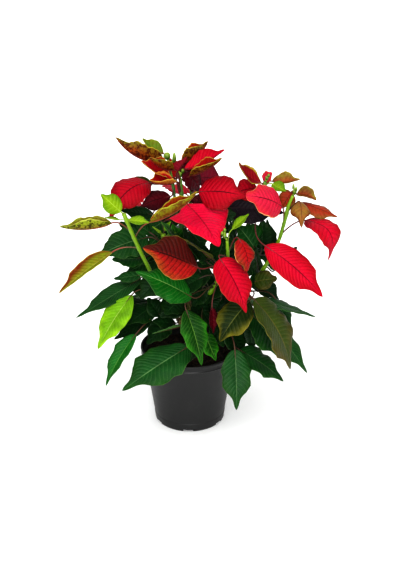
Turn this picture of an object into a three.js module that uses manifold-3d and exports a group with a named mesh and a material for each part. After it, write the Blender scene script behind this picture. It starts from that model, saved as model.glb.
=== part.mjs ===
// A poinsettia in its dark plastic nursery pot.
//
// Millimetres, +Z up. The origin is the centre of the pot's flat base, and -Y is the plant's front.
// The pot is filled with peat, and a short woody trunk stands in a hole in it. Nine shoots grow
// from the trunk. Each shoot is up to three nodes: its green stem with green leaves, its coloured
// bracts on the top of the stem, and the small green cyathia, the true flowers, on the tip.

import * as THREE from 'three';
import { mergeVertices } from 'three/addons/utils/BufferGeometryUtils.js';
import Module from 'manifold-3d';

const wasm = await Module();
wasm.setup();

// ---------------------------------------------------------------- driving dimensions

const CLEARANCE = 0.3; // air between two pieces that touch
const SMALLEST_DETAIL = 0.1; // corners closer than this to a straight edge or a face are dropped

const POT = {
  height: 107,
  rimRadius: 65,
  bandHeight: 11, // the straight band below the rim
  bandTaper: 1,
  shoulderRadius: 60.5, // the wall just under the band
  baseRadius: 46.5,
  edgeRound: 1.6,
  wall: 2,
  floor: 2.4,
  footRise: 3.5, // how far the drained ring of the floor stands off the ground
  footWidth: 3.5,
  padRadius: 30, // the flat middle of the base
  drains: 6,
  drainWidth: 13,
  drainHoleRadius: 4,
  sides: 32,
};

const SOIL = { depthBelowRim: 11, crown: 4, gap: 0.4 };

const TRUNK = { radius: 6, topRadius: 5, foot: 60, top: 150, sides: 10 };

const STEM = { radius: 2.9, tipRadius: 2.2, sides: 6, woodyPart: 0.16 };

const PETIOLE = { radius: 1.2, steps: 2 };

const BLADE_THICKNESS = 0.75;
const CUP_STALK = 1.3; // radius of the stalks between cyathia

// Outline of a blade: half width grows as t^rise and closes as (1 - t)^fall along the midrib.
// rows are the places along the midrib where the faceted blade has a row of corners.
const FORMS = {
  bract: { rise: 0.75, fall: 0.95, rows: [0, 0.14, 0.38, 0.62, 0.84, 1], few: [0, 0.2, 0.5, 0.8, 1] },
  leaf: { rise: 0.6, fall: 1.0, rows: [0, 0.1, 0.32, 0.58, 0.82, 1], few: [0, 0.14, 0.42, 0.74, 1] },
  round: { rise: 0.5, fall: 0.6, rows: [0, 0.1, 0.35, 0.65, 0.9, 1], few: [0, 0.1, 0.35, 0.65, 0.9, 1] },
  small: { rise: 0.8, fall: 0.9, rows: [0, 0.25, 0.6, 1], few: [0, 0.25, 0.6, 1] },
  lobed: {
    rise: 0.6, fall: 0.9, lobes: [0.34, 0.6], lobe: 0.15,
    rows: [0, 0.1, 0.22, 0.34, 0.46, 0.6, 0.78, 1],
  },
  kite: { rise: 0.8, fall: 0.9, lobes: [0.3], lobe: 0.42, rows: [0, 0.1, 0.2, 0.3, 0.42, 0.6, 0.8, 1] },
};

const WIDE = 43; // blades at least this wide keep all their rows

const COLOURS = {
  pot: 0x2f3033, soil: 0x2a1c14, wood: 0x6b5a3c, leaf: 0x1f5a22, bract: 0xc8102e, cyathia: 0xa8c23a,
};

// ---------------------------------------------------------------- the plant's layout

// Each shoot's axis, from the trunk's middle to its tip. forks are side stems of the same shoot.
const SHOOTS = {
  west: { axis: [[0, 1, 118], [-20, -12, 160], [-40, -30, 205], [-49, -40, 232], [-63, -50, 269], [-78, -60, 314]] },
  centre: { axis: [[2, -1, 125], [12, -18, 165], [30, -38, 205], [45, -50, 238], [48, -56, 256], [47, -60, 279]] },
  east: {
    axis: [[3, 1, 116], [30, -3, 150], [62, -7, 178], [87, -2, 203], [112.5, 0, 250], [121, 0, 281],
      [126, 0, 304], [130.5, 0, 316]],
  },
  inner: { axis: [[2, 3, 135], [25, 16, 180], [52, 28, 225], [80, 37, 270], [98, 40, 321]] },
  crown: {
    axis: [[0, 3, 145], [-3, 12, 200], [-7, 22, 240], [-9, 28, 275], [-9, 30, 295], [-11, 32, 328]],
    forks: [
      [[-8, 25, 256], [-17, 38, 282], [-20, 46, 308], [-25, 51, 334]],
      [[-8, 26, 264], [0, 35, 288], [3, 39, 306], [4, 40, 320]],
    ],
  },
  young: { axis: [[-1, 2, 140], [-14, 2, 190], [-28, -2, 235], [-33, -1, 265]] },
  back_left: { axis: [[-2, 3, 128], [-22, 30, 165], [-48, 62, 215], [-58, 78, 262]] },
  back_right: { axis: [[2, 4, 122], [22, 32, 160], [48, 64, 205], [62, 84, 262]] },
  back_middle: { axis: [[0, 5, 138], [2, 40, 185], [4, 74, 232], [6, 90, 272]] },
};

// One blade each. at: where its petiole leaves the axis, 0 to 1 (on: which fork, if any).
// base, tip: the ends of the blade. width: laid flat. face: degrees that the upper side is
// turned to the front. arch: the midrib's rise over its length. fold: degrees that each half
// stands up from the midrib. curl: degrees more that the margin turns up. wave: how far the
// margin ripples, as a part of the width. lean: how far the right half is set forward.
const BRACTS = {
  crown: [
    { name: 'tall rolled', on: 1, at: 0.9, base: [-32, 45, 347], tip: [-91, 20, 386], width: 42, arch: -0.13, fold: 30, curl: 70, face: -16 },
    { name: 'back rolled', on: 1, at: 0.84, base: [-33, 62, 352], tip: [-60, 60, 373], width: 22, arch: -0.1, fold: 10, curl: 20, face: 40 },
    { name: 'left rolled', at: 0.94, base: [-19, 25, 342], tip: [-49, 6, 364], width: 27, arch: -0.1, fold: 30, curl: 70 },
    { name: 'left folded', at: 0.9, base: [-24, 28, 332], tip: [-59, 2, 361], width: 34, arch: -0.06, fold: 14, curl: 24, face: 34 },
    { name: 'left cup', at: 0.88, base: [-17, 22, 327], tip: [-48, -14, 341], width: 36, arch: -0.08, fold: 20, curl: 50, face: 15 },
    { name: 'left banner', on: 1, at: 0.8, base: [-48, 14, 328], tip: [-99, -22, 293], width: 46, face: 28, arch: 0.33, fold: 4, curl: -25 },
    { name: 'left shaded', on: 1, at: 0.7, base: [-24, 38, 302], tip: [-64, 34, 288], width: 30, face: 40, arch: 0.12, fold: 8, curl: -20 },
    { name: 'right rolled', at: 0.9, base: [-10, 52, 343], tip: [24, 50, 372], width: 37, arch: -0.12, fold: 30, curl: 70 },
    { name: 'right bright', on: 2, at: 0.88, base: [-6, 34, 340], tip: [45, 20, 370], width: 33, arch: -0.06, face: 30, fold: 15, curl: 25 },
    { name: 'right tube', on: 2, at: 0.86, base: [1, 22, 335], tip: [41, 0, 365], width: 30, arch: -0.06, face: 20, fold: 26, curl: 55 },
    { name: 'right back', on: 2, at: 0.9, base: [9, 55, 322], tip: [44, 72, 312], width: 40, face: 50, arch: 0.1, fold: 10, curl: -20 },
    { name: 'right hanging', on: 2, at: 0.84, base: [-3, 33, 337], tip: [13, 34, 309], width: 40, face: 30, arch: 0.1, fold: 8, curl: -20 },
    { name: 'right banner', on: 2, at: 0.74, base: [12, 12, 317], tip: [72, -6, 317], width: 50, face: 46, arch: 0.12, fold: 6, curl: -25 },
    { name: 'big lobed', on: 2, at: 0.62, base: [-3, 2, 305], tip: [37, -70, 275], width: 103, form: 'kite', lean: 0.05, arch: 0.05, fold: 8, curl: -14, face: -7 },
    { name: 'centre red', at: 0.8, base: [-14, 25, 341], tip: [-3, 12, 363], width: 20, form: 'small', face: 0, fold: 20 },
    { name: 'centre low', on: 2, at: 0.86, base: [-4, 30, 324], tip: [4, 22, 345], width: 20, form: 'small', face: 0, fold: 12 },
    { name: 'right heart', on: 2, at: 0.82, base: [0, 46, 319], tip: [-1, 58, 349], width: 24, form: 'small', face: 0, fold: 10 },
    { name: 'centre back', on: 1, at: 0.86, base: [-16, 62, 320], tip: [-28, 70, 345], width: 20, form: 'small', face: 50, fold: 10 },
    { name: 'left olive', on: 1, at: 0.76, base: [-47, 40, 318], tip: [-79, 34, 326], width: 16, form: 'small', face: 40, fold: 8 },
  ],
  centre: [
    { name: 'front', at: 0.86, base: [38, -78, 263], tip: [70, -106, 203], width: 52, form: 'leaf', face: 6, arch: 0.08, fold: 12, curl: -25 },
    { name: 'front left', at: 0.8, base: [11, -80, 252], tip: [-54, -97, 285], width: 56, face: 46, arch: 0.06, fold: 10, curl: -20 },
    { name: 'lime tip', at: 0.94, base: [53, -65, 296], tip: [73, -60, 314], width: 13, form: 'small', face: 20, fold: 15 },
    { name: 'shell', at: 0.9, base: [61, -66, 284], tip: [71, -80, 246], width: 30, form: 'round', arch: 0.2, fold: 5, curl: -45 },
  ],
  east: [
    { name: 'outer', at: 0.92, base: [141, 2, 306], tip: [187, -12, 292], width: 27, face: 20, arch: 0.03, fold: 0, curl: -40 },
    { name: 'outer curled', at: 0.94, base: [136, 8, 316], tip: [160, -2, 311], width: 24, form: 'small', face: 20, arch: 0.1, fold: 15, curl: 30 },
    { name: 'dome', at: 0.9, base: [138, -6, 311], tip: [139, -40, 288], width: 32, arch: 0.3, fold: -10, curl: -50 },
    { name: 'back small', at: 0.9, base: [128, 14, 302], tip: [117, 26, 318], width: 18, form: 'small', fold: 30 },
    { name: 'outer banner', at: 0.78, base: [146, -8, 286], tip: [175, -30, 240], width: 39, form: 'leaf', face: 12, arch: 0.5, fold: 8, curl: -20 },
    { name: 'cream edged', at: 0.84, base: [117, -4, 303], tip: [70, -28, 326], width: 46, form: 'round', face: 50, arch: 0.12, fold: 5, curl: -30 },
    { name: 'brown', at: 0.88, base: [129, 8, 318], tip: [117, 2, 299], width: 24, form: 'small', face: 30, fold: 10, curl: -20 },
  ],
  inner: [
    { name: 'left rolled', at: 0.94, base: [93, 38, 320], tip: [63, 28, 351], width: 28, arch: -0.14, fold: 10, curl: 25, face: 35 },
    { name: 'heart', at: 0.95, base: [97, 52, 317], tip: [107, 48, 331], width: 20, form: 'small', fold: 12, face: 50 },
    { name: 'right flat', at: 0.92, base: [107, 46, 320], tip: [143, 42, 324], width: 28, arch: -0.08, face: 20, fold: 20, curl: 30 },
    { name: 'right lime', at: 0.9, base: [106, 26, 323], tip: [123, 13, 317], width: 17, form: 'small', fold: 20, face: 30 },
    { name: 'left red', at: 0.95, base: [88, 42, 312], tip: [57, 40, 306], width: 32, face: 45, arch: 0.08, fold: 8, curl: -20 },
    { name: 'left shaded', at: 0.72, base: [42, 30, 290], tip: [121, 14, 288], width: 46, face: 34, arch: 0.04, fold: 10, curl: -20 },
    { name: 'right arrow', at: 0.8, base: [95, -28, 260], tip: [168, -52, 200], width: 44, face: 38, arch: 0.1, fold: 8, curl: -15 },
  ],
  back_left: [
    { name: 'rear left', at: 0.94, base: [-66, 84, 272], tip: [-98, 104, 258], width: 30, arch: 0.1, fold: 10, curl: -20, form: 'small' },
    { name: 'rear', at: 0.95, base: [-54, 92, 272], tip: [-50, 138, 252], width: 34, arch: 0.12, fold: 10, curl: -20, form: 'small' },
    { name: 'rear right', at: 0.92, base: [-44, 84, 270], tip: [-22, 118, 268], width: 26, arch: 0.1, fold: 14, curl: -20, form: 'small' },
  ],
  back_right: [
    { name: 'rear right', at: 0.94, base: [72, 90, 270], tip: [106, 106, 258], width: 32, arch: 0.1, fold: 10, curl: -20, form: 'small' },
    { name: 'rear', at: 0.95, base: [62, 98, 272], tip: [62, 146, 254], width: 36, arch: 0.12, fold: 10, curl: -20, form: 'small' },
    { name: 'rear left', at: 0.92, base: [50, 92, 270], tip: [26, 122, 266], width: 28, arch: 0.1, fold: 14, curl: -20, form: 'small' },
  ],
  back_middle: [
    { name: 'rear', at: 0.86, base: [7, 106, 282], tip: [4, 152, 270], width: 36, arch: 0.12, fold: 10, curl: -20, form: 'small' },
    { name: 'rear left', at: 0.84, base: [-4, 98, 284], tip: [-38, 116, 290], width: 30, arch: 0.08, fold: 14, curl: -20, form: 'small' },
    { name: 'rear right', at: 0.88, base: [16, 96, 282], tip: [48, 112, 290], width: 28, arch: 0.08, fold: 14, curl: -20, form: 'small' },
  ],
};

const LEAVES = {
  west: [
    { name: 'lime top', at: 0.99, base: [-81, -62, 317], tip: [-104, -66, 341], width: 24, face: 66, fold: 5 },
    { name: 'lime sliver', at: 0.96, base: [-83, -61, 307], tip: [-100, -70, 313], width: 9, form: 'small', fold: 20 },
    { name: 'lime right', at: 0.95, base: [-72, -60, 306], tip: [-47, -66, 305], width: 14, form: 'small', face: 30, fold: 20 },
    { name: 'rolled left', at: 0.88, base: [-93, -60, 302], tip: [-154, -75, 303], width: 32, arch: -0.08, fold: 30, curl: 70 },
    { name: 'folded left', at: 0.76, base: [-94, -55, 262], tip: [-158, -85, 220], width: 31, face: 34, fold: 52, curl: 6, arch: 0.02 },
    { name: 'rolled right', at: 0.83, base: [-46, -62, 304], tip: [11, -80, 349], width: 32, arch: -0.08, fold: 30, curl: 70, face: 16 },
    { name: 'long', at: 0.5, base: [-62, -12, 209], tip: [-142, -60, 175], width: 31, form: 'leaf', face: 14, arch: 0, fold: 14, curl: -20 },
    { name: 'bright', at: 0.42, base: [-72, -40, 198], tip: [-114, -80, 141], width: 38, face: 12, arch: 0.06, fold: 12, curl: -25 },
    { name: 'shaded', at: 0.36, base: [-44, -20, 176], tip: [-78, -60, 166], width: 32, face: 25, fold: 12, curl: -20 },
    { name: 'low', at: 0.3, base: [-48, -34, 162], tip: [-95, -60, 145], width: 28, face: 20, fold: 14, curl: -20 },
    { name: 'side-on', at: 0.26, base: [-67, -62, 153], tip: [-105, -88, 93], width: 26, form: 'lobed', face: 20, arch: 0.08, fold: 30, curl: -10 },
    { name: 'rear low', at: 0.33, base: [-52, 8, 168], tip: [-92, -8, 150], width: 34, face: 10, arch: 0.08, fold: 12, curl: -20 },
    { name: 'inner low', at: 0.24, base: [-25, -30, 160], tip: [-54, -50, 133], width: 36, face: 10, fold: 12, curl: -20, form: 'small' },
    { name: 'low inner', at: 0.28, base: [-14, -30, 186], tip: [-30, -52, 176], width: 32, face: 20, fold: 12, curl: -20, form: 'small' },
    { name: 'inner', at: 0.5, base: [-28, -20, 218], tip: [-62, -44, 194], width: 38, face: 20, arch: 0.08, fold: 12, curl: -20, form: 'small' },
    { name: 'fill', at: 0.3, base: [-6, -30, 187], tip: [-37, -46, 169], width: 34, form: 'small', face: 30, fold: 12, curl: -20 },
    { name: 'fill low', at: 0.3, base: [-36, -40, 168], tip: [-53, -34, 191], width: 24, form: 'small', face: 30, fold: 12, curl: -20 },
    { name: 'fill top', at: 0.5, base: [-61, -16, 215], tip: [-96, -22, 212], width: 18, form: 'small', face: 30, fold: 10, curl: -20 },
    { name: 'fill middle', at: 0.42, base: [-54, -18, 199], tip: [-76, -22, 198], width: 24, form: 'small', face: 40, fold: 10, curl: -20 },
    { name: 'fill base', at: 0.26, base: [-17, -38, 157], tip: [-47, -44, 163], width: 22, form: 'small', face: 30, fold: 10, curl: -20 },
  ],
  centre: [
    { name: 'edge-on', at: 0.72, base: [30, -48, 250], tip: [-35, -56, 282], width: 34, face: -20, arch: 0.1, fold: 10, curl: -20, wave: 0.1 },
    { name: 'front left', at: 0.6, base: [4, -74, 210], tip: [-64, -87, 250], width: 46, form: 'lobed', face: 44, arch: 0.06, fold: 10, curl: -20 },
    { name: 'front drooping', at: 0.56, base: [-3, -88, 199], tip: [16, -112, 135], width: 38, form: 'lobed', face: 4, arch: 0.06, fold: 14, curl: -15 },
    { name: 'low left', at: 0.36, base: [0, -78, 144], tip: [-82, -120, 104], width: 60, form: 'lobed', face: 22, arch: 0.03, fold: 8, curl: -20, lean: 0.04 },
    { name: 'pale underside', at: 0.32, base: [-8, -50, 160], tip: [-46, -70, 158], width: 22, face: -30, fold: 14, curl: -10 },
    { name: 'low small', at: 0.34, base: [20, -78, 163], tip: [34, -92, 131], width: 26, face: 4, fold: 12, curl: -20 },
    { name: 'low right', at: 0.3, base: [57, -98, 150], tip: [59, -126, 80], width: 40, form: 'lobed', face: -6, arch: 0.06, fold: 12, curl: -20 },
    { name: 'brown sliver', at: 0.62, base: [29, -62, 190], tip: [31, -68, 157], width: 15, form: 'small', face: -20, fold: 20 },
    { name: 'inner left', at: 0.66, base: [18, -52, 228], tip: [-28, -62, 198], width: 36, face: 20, arch: 0.08, fold: 12, curl: -20, form: 'bract' },
    { name: 'inner low', at: 0.45, base: [32, -44, 162], tip: [44, -60, 134], width: 34, face: -10, fold: 12, curl: -20, form: 'small' },
    { name: 'inner', at: 0.7, base: [20, -26, 238], tip: [2, -40, 202], width: 38, face: 10, fold: 12, curl: -20, form: 'bract' },
    { name: 'inner right', at: 0.5, base: [40, -22, 222], tip: [22, -44, 186], width: 38, face: 0, fold: 12, curl: -20, form: 'bract' },
    { name: 'rim left', at: 0.28, base: [14, -60, 158], tip: [-2, -74, 119], width: 36, fold: 12, curl: -20, form: 'small' },
    { name: 'rim middle', at: 0.42, base: [10, -30, 186], tip: [30, -52, 158], width: 36, face: 10, fold: 12, curl: -20, form: 'small' },
    { name: 'fill upper', at: 0.68, base: [23, -38, 242], tip: [4, -46, 261], width: 22, form: 'small', face: 30, fold: 12, curl: -20 },
    { name: 'fill middle', at: 0.5, base: [18, -32, 205], tip: [5, -42, 182], width: 26, form: 'small', face: 20, fold: 12, curl: -20 },
    { name: 'fill right', at: 0.46, base: [41, -38, 191], tip: [30, -50, 177], width: 22, form: 'small', face: 20, fold: 12, curl: -20 },
    { name: 'fill left', at: 0.5, base: [9, -30, 238], tip: [-6, -24, 282], width: 26, form: 'small', face: 20, fold: 12, curl: -20 },
    { name: 'fill heart', at: 0.6, base: [23, -20, 232], tip: [14, -14, 259], width: 26, form: 'small', face: 0, fold: 10, curl: -20 },
  ],
  east: [
    { name: 'olive', at: 0.4, base: [75, -72, 204], tip: [38, -97, 160], width: 46, face: 20, arch: 0.08, fold: 12, curl: -20 },
    { name: 'large olive', at: 0.45, base: [80, -78, 209], tip: [126, -105, 126], width: 70, face: -6, arch: 0.1, fold: 12, curl: -20, lean: 0.06 },
    { name: 'right', at: 0.48, base: [81, -40, 193], tip: [160, -60, 176], width: 32, face: -6, arch: 0.02, fold: 10, curl: -20 },
    { name: 'right low', at: 0.36, base: [101, -28, 157], tip: [153, -50, 91], width: 38, face: 4, arch: 0.02, fold: 14, curl: -20 },
    { name: 'shaded', at: 0.3, base: [80, -52, 176], tip: [114, -72, 126], width: 52, face: 10, arch: 0.06, fold: 12, curl: -20 },
    { name: 'low', at: 0.24, base: [64, -74, 137], tip: [119, -92, 102], width: 50, form: 'lobed', face: 6, arch: 0.05, fold: 10, curl: -20, lean: 0.04 },
    { name: 'round', at: 0.56, base: [82, -18, 206], tip: [112, -28, 215], width: 26, form: 'round', face: 50, arch: 0.06, fold: 8, curl: -20 },
    { name: 'behind arrow', at: 0.58, base: [112, 16, 208], tip: [140, 18, 240], width: 34, face: 30, fold: 12, curl: -20, wave: 0.12 },
    { name: 'inner', at: 0.3, base: [65, -30, 186], tip: [93, -45, 143], width: 40, face: 0, fold: 12, curl: -20, form: 'bract' },
    { name: 'rim right', at: 0.28, base: [46, -55, 163], tip: [72, -72, 124], width: 38, face: 0, fold: 12, curl: -20, form: 'small' },
    { name: 'inner left', at: 0.28, base: [24, 0, 196], tip: [62, -30, 168], width: 42, arch: 0.1, fold: 12, curl: -20, form: 'bract' },
    { name: 'fill low', at: 0.34, base: [78, -40, 157], tip: [81, -52, 128], width: 30, form: 'small', face: 10, fold: 12, curl: -20 },
    { name: 'fill right', at: 0.4, base: [111, -34, 188], tip: [130, -48, 155], width: 32, form: 'small', face: 0, fold: 12, curl: -20 },
    { name: 'fill upper', at: 0.46, base: [88, -20, 195], tip: [82, -14, 221], width: 22, form: 'small', face: 0, fold: 12, curl: -20 },
  ],
  inner: [
    { name: 'left', at: 0.44, base: [86, 18, 236], tip: [62, 22, 268], width: 50, face: 40, arch: 0.06, fold: 12, curl: -20 },
    { name: 'right', at: 0.47, base: [109, 34, 232], tip: [101, 30, 274], width: 34, face: 0, fold: 14, curl: -20 },
    { name: 'rear', at: 0.48, base: [92, 62, 222], tip: [130, 84, 196], width: 42, arch: 0.1, fold: 12, curl: -20, form: 'small' },
    { name: 'side', at: 0.4, base: [82, 24, 190], tip: [118, 6, 168], width: 34, face: 10, arch: 0.1, fold: 12, curl: -20 },
    { name: 'front', at: 0.44, base: [74, 12, 234], tip: [70, -8, 200], width: 30, face: 10, fold: 12, curl: -20, form: 'small' },
    { name: 'upper left', at: 0.42, base: [56, 6, 244], tip: [66, -14, 222], width: 32, face: 20, fold: 12, curl: -20, form: 'small' },
    { name: 'low left', at: 0.4, base: [96, 22, 181], tip: [86, 12, 243], width: 34, form: 'small', face: 20, fold: 12, curl: -20 },
    { name: 'fill left', at: 0.46, base: [60, 10, 248], tip: [52, 14, 280], width: 22, form: 'small', face: 0, fold: 10, curl: -20 },
    { name: 'fill right', at: 0.5, base: [95, 30, 231], tip: [96, 34, 271], width: 30, form: 'small', face: 0, fold: 12, curl: -20 },
  ],
  crown: [
    { name: 'left', at: 0.42, base: [-32, 22, 222], tip: [-84, 8, 204], width: 40, face: 20, arch: 0.1, fold: 12, curl: -20 },
    { name: 'right', at: 0.5, base: [20, 8, 238], tip: [44, -18, 216], width: 34, arch: 0.1, fold: 12, curl: -20 },
    { name: 'inner left', at: 0.44, base: [-31, 30, 262], tip: [-52, 18, 240], width: 36, face: 20, fold: 12, curl: -20, form: 'small' },
    { name: 'inner front', at: 0.48, base: [2, 14, 264], tip: [20, -8, 248], width: 34, face: 10, fold: 12, curl: -20, form: 'bract' },
    { name: 'inner right', at: 0.46, base: [22, 26, 270], tip: [56, 16, 262], width: 36, face: 40, fold: 12, curl: -20, form: 'bract' },
    { name: 'upper left', at: 0.49, base: [-33, 26, 272], tip: [-53, 18, 262], width: 36, face: 30, fold: 12, curl: -20, form: 'small' },
    { name: 'upper right', at: 0.44, base: [46, 8, 258], tip: [36, -18, 236], width: 38, face: 20, fold: 12, curl: -20, form: 'bract' },
    { name: 'rear', at: 0.44, base: [-10, 52, 262], tip: [-36, 50, 288], width: 38, face: 60, fold: 8, curl: -15, form: 'small' },
    { name: 'fill centre', at: 0.5, base: [19, 14, 254], tip: [50, 22, 278], width: 30, form: 'small', face: 30, fold: 10, curl: -20 },
    { name: 'fill red', at: 0.5, base: [10, 24, 294], tip: [14, 28, 309], width: 22, form: 'small', face: 30, fold: 10, curl: -20 },
    { name: 'fill top', at: 0.5, base: [41, 2, 288], tip: [60, 3, 291], width: 18, form: 'small', face: 60, fold: 10, curl: -20 },
  ],
  young: [
    { name: 'tip left', at: 1, base: [-36, -3, 267], tip: [-46, -10, 279], width: 10, form: 'small', fold: 15 },
    { name: 'tip right', at: 0.99, base: [-31, 1, 268], tip: [-23, 5, 280], width: 11, form: 'small', fold: 15 },
    { name: 'tip front', at: 0.98, base: [-29, -5, 264], tip: [-16, -12, 271], width: 11, form: 'small', fold: 15 },
    { name: 'left', at: 0.86, base: [-53, 8, 257], tip: [-116, -12, 239], width: 50, form: 'lobed', face: 34, arch: 0.08, fold: 12, curl: -20 },
    { name: 'fresh', at: 0.84, base: [-10, -14, 258], tip: [-34, -30, 292], width: 24, form: 'small', face: 30, fold: 12, curl: -20 },
    { name: 'band', at: 0.8, base: [-46, 14, 286], tip: [-86, 2, 296], width: 18, form: 'small', face: 50, fold: 10, curl: -20 },
    { name: 'fill', at: 0.8, base: [-10, -10, 251], tip: [-21, -3, 279], width: 24, form: 'small', face: 10, fold: 10, curl: -20 },
    { name: 'fill left', at: 0.84, base: [-50, 14, 261], tip: [-68, 14, 274], width: 18, form: 'small', face: 40, fold: 10, curl: -20 },
  ],
  back_left: [
    { name: 'left upper', at: 0.82, base: [-62, 52, 240], tip: [-92, 42, 264], width: 36, face: 40, fold: 12, curl: -20, form: 'small' },
    { name: 'far left', at: 0.84, base: [-80, 34, 238], tip: [-118, 22, 228], width: 30, face: 30, arch: 0.06, fold: 12, curl: -20 },
    { name: 'left', at: 0.7, base: [-73, 62, 226], tip: [-111, 56, 211], width: 34, face: 10, arch: 0.1, fold: 12, curl: -20, form: 'small' },
    { name: 'rear left', at: 0.76, base: [-72, 98, 218], tip: [-104, 138, 176], width: 44, arch: 0.1, fold: 12, curl: -20, form: 'small' },
    { name: 'rear', at: 0.66, base: [-48, 100, 204], tip: [-54, 154, 162], width: 46, form: 'small', arch: 0.1, fold: 12, curl: -20 },
    { name: 'low', at: 0.4, base: [-46, 56, 160], tip: [-84, 96, 120], width: 46, arch: 0.1, fold: 12, curl: -20, form: 'small' },
    { name: 'inner', at: 0.72, base: [-40, 22, 236], tip: [-94, 22, 220], width: 42, face: 30, arch: 0.08, fold: 12, curl: -20 },
    { name: 'fill', at: 0.74, base: [-62, 0, 232], tip: [-98, -14, 235], width: 28, form: 'small', face: 30, fold: 12, curl: -20 },
  ],
  back_right: [
    { name: 'right', at: 0.76, base: [84, 74, 214], tip: [128, 62, 180], width: 42, arch: 0.1, fold: 12, curl: -20, form: 'small' },
    { name: 'rear right', at: 0.7, base: [78, 104, 210], tip: [112, 146, 170], width: 44, form: 'small', arch: 0.1, fold: 12, curl: -20 },
    { name: 'rear', at: 0.62, base: [52, 104, 196], tip: [56, 158, 156], width: 46, arch: 0.1, fold: 12, curl: -20, form: 'small' },
    { name: 'low', at: 0.36, base: [48, 56, 156], tip: [92, 96, 118], width: 46, arch: 0.1, fold: 12, curl: -20, form: 'small' },
  ],
  back_middle: [
    { name: 'rear left', at: 0.8, base: [-14, 106, 232], tip: [-34, 152, 206], width: 38, arch: 0.1, fold: 12, curl: -20, form: 'small' },
    { name: 'rear right', at: 0.74, base: [22, 104, 226], tip: [42, 150, 200], width: 38, arch: 0.1, fold: 12, curl: -20, form: 'small' },
    { name: 'low', at: 0.42, base: [2, 78, 160], tip: [0, 136, 118], width: 48, form: 'small', arch: 0.1, fold: 12, curl: -20 },
  ],
};

// Cyathia: small cups that crowd at the end of an axis (on: which fork, if any), each as
// [x, y, z, radius, height over radius]. The first stands on the stem's end.
const CYATHIA = {
  crown: { shoot: 'crown', cups: [[-11, 33, 333, 2.6, 1.2], [-8, 32, 338, 2.2, 1.3], [-14, 35, 338, 2, 1.5]] },
  crown_left: { shoot: 'crown', on: 1, cups: [[-25, 52, 338, 2.6, 1.2], [-28.5, 54, 351, 4.6, 1], [-19, 50.5, 350, 2.6, 2.6]] },
  crown_right: { shoot: 'crown', on: 2, cups: [[4.3, 40.6, 325.6, 2, 1.3], [7, 44, 330, 1.8, 1.6]] },
  centre: { shoot: 'centre', cups: [[44, -60, 285, 2.6, 1.2], [41, -62, 289, 2, 1.3], [44, -57, 291, 2, 1.5]] },
  east: { shoot: 'east', cups: [[132.5, 0, 321, 2.6, 1.2], [134, -3, 325.5, 1.8, 1.6], [131, 2, 327.5, 1.6, 2.2]] },
  inner: { shoot: 'inner', cups: [[100, 40, 326, 2.2, 1.3], [102, 38, 330, 1.8, 1.3]] },
  back_middle: { shoot: 'back_middle', cups: [[6.2, 92.1, 277.6, 2.4, 1.3], [4, 90, 283, 2, 1.3]] },
};

// ---------------------------------------------------------------- solids

/** Turns a closed three.js geometry into a manifold solid. */
function solidOf(geometry) {
  const bare = geometry.clone();
  bare.deleteAttribute('normal');
  bare.deleteAttribute('uv');
  const welded = mergeVertices(bare, 1e-4);
  const vertProperties = new Float32Array(welded.attributes.position.array);
  const triVerts = new Uint32Array(welded.index.array);
  return new wasm.Manifold(new wasm.Mesh({ numProp: 3, vertProperties, triVerts }));
}

/** Turns a manifold solid back into a three.js geometry. */
function geometryOf(solid) {
  const mesh = solid.getMesh();
  const geometry = new THREE.BufferGeometry();
  geometry.setAttribute('position', new THREE.BufferAttribute(new Float32Array(mesh.vertProperties), 3));
  geometry.setIndex(new THREE.BufferAttribute(new Uint32Array(mesh.triVerts), 1));
  geometry.computeVertexNormals();
  return geometry;
}

/** Joins solids, and drops the corners that the joints leave on straight edges. */
function union(solids) {
  return solids.reduce((whole, piece) => whole.add(piece)).asOriginal().simplify(SMALLEST_DETAIL);
}

/** A closed geometry from corner points and triangles. */
function closedMesh(points, triangles) {
  const geometry = new THREE.BufferGeometry();
  geometry.setAttribute('position', new THREE.Float32BufferAttribute(points.flatMap((p) => p.toArray()), 3));
  geometry.setIndex(triangles.flat());
  return geometry;
}

/** A round bar through the given points, with a radius at each end. */
function bar(points, startRadius, endRadius, sides) {
  const corners = [];
  const triangles = [];
  const last = points.length - 1;
  let side = new THREE.Vector3(0.31, 0.84, 0.45);
  points.forEach((point, i) => {
    const along = points[Math.min(i + 1, last)].clone().sub(points[Math.max(i - 1, 0)]).normalize();
    side = side.clone().addScaledVector(along, -side.dot(along)).normalize();
    const other = along.clone().cross(side);
    const radius = THREE.MathUtils.lerp(startRadius, endRadius, i / last);
    for (let k = 0; k < sides; k += 1) {
      const angle = (2 * Math.PI * k) / sides;
      corners.push(point.clone()
        .addScaledVector(side, radius * Math.cos(angle))
        .addScaledVector(other, radius * Math.sin(angle)));
    }
  });
  for (let i = 0; i < last; i += 1) {
    for (let k = 0; k < sides; k += 1) {
      const a = i * sides + k;
      const b = i * sides + ((k + 1) % sides);
      triangles.push([a, b, b + sides], [a, b + sides, a + sides]);
    }
  }
  for (let k = 1; k < sides - 1; k += 1) {
    triangles.push([0, k + 1, k], [last * sides, last * sides + k, last * sides + k + 1]);
  }
  return solidOf(closedMesh(corners, triangles));
}

const curveOf = (points) => new THREE.CatmullRomCurve3(points.map((p) => new THREE.Vector3(...p)));

/** The part of a curve between two fractions of its length, as points. */
function stretch(curve, from, to, steps) {
  return Array.from({ length: steps + 1 }, (_, i) => curve.getPointAt(from + ((to - from) * i) / steps));
}

// ---------------------------------------------------------------- blades

const UP = new THREE.Vector3(0, 0, 1);
const FRONT_LEFT = new THREE.Vector3(-0.5, -1, 0);

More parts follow.
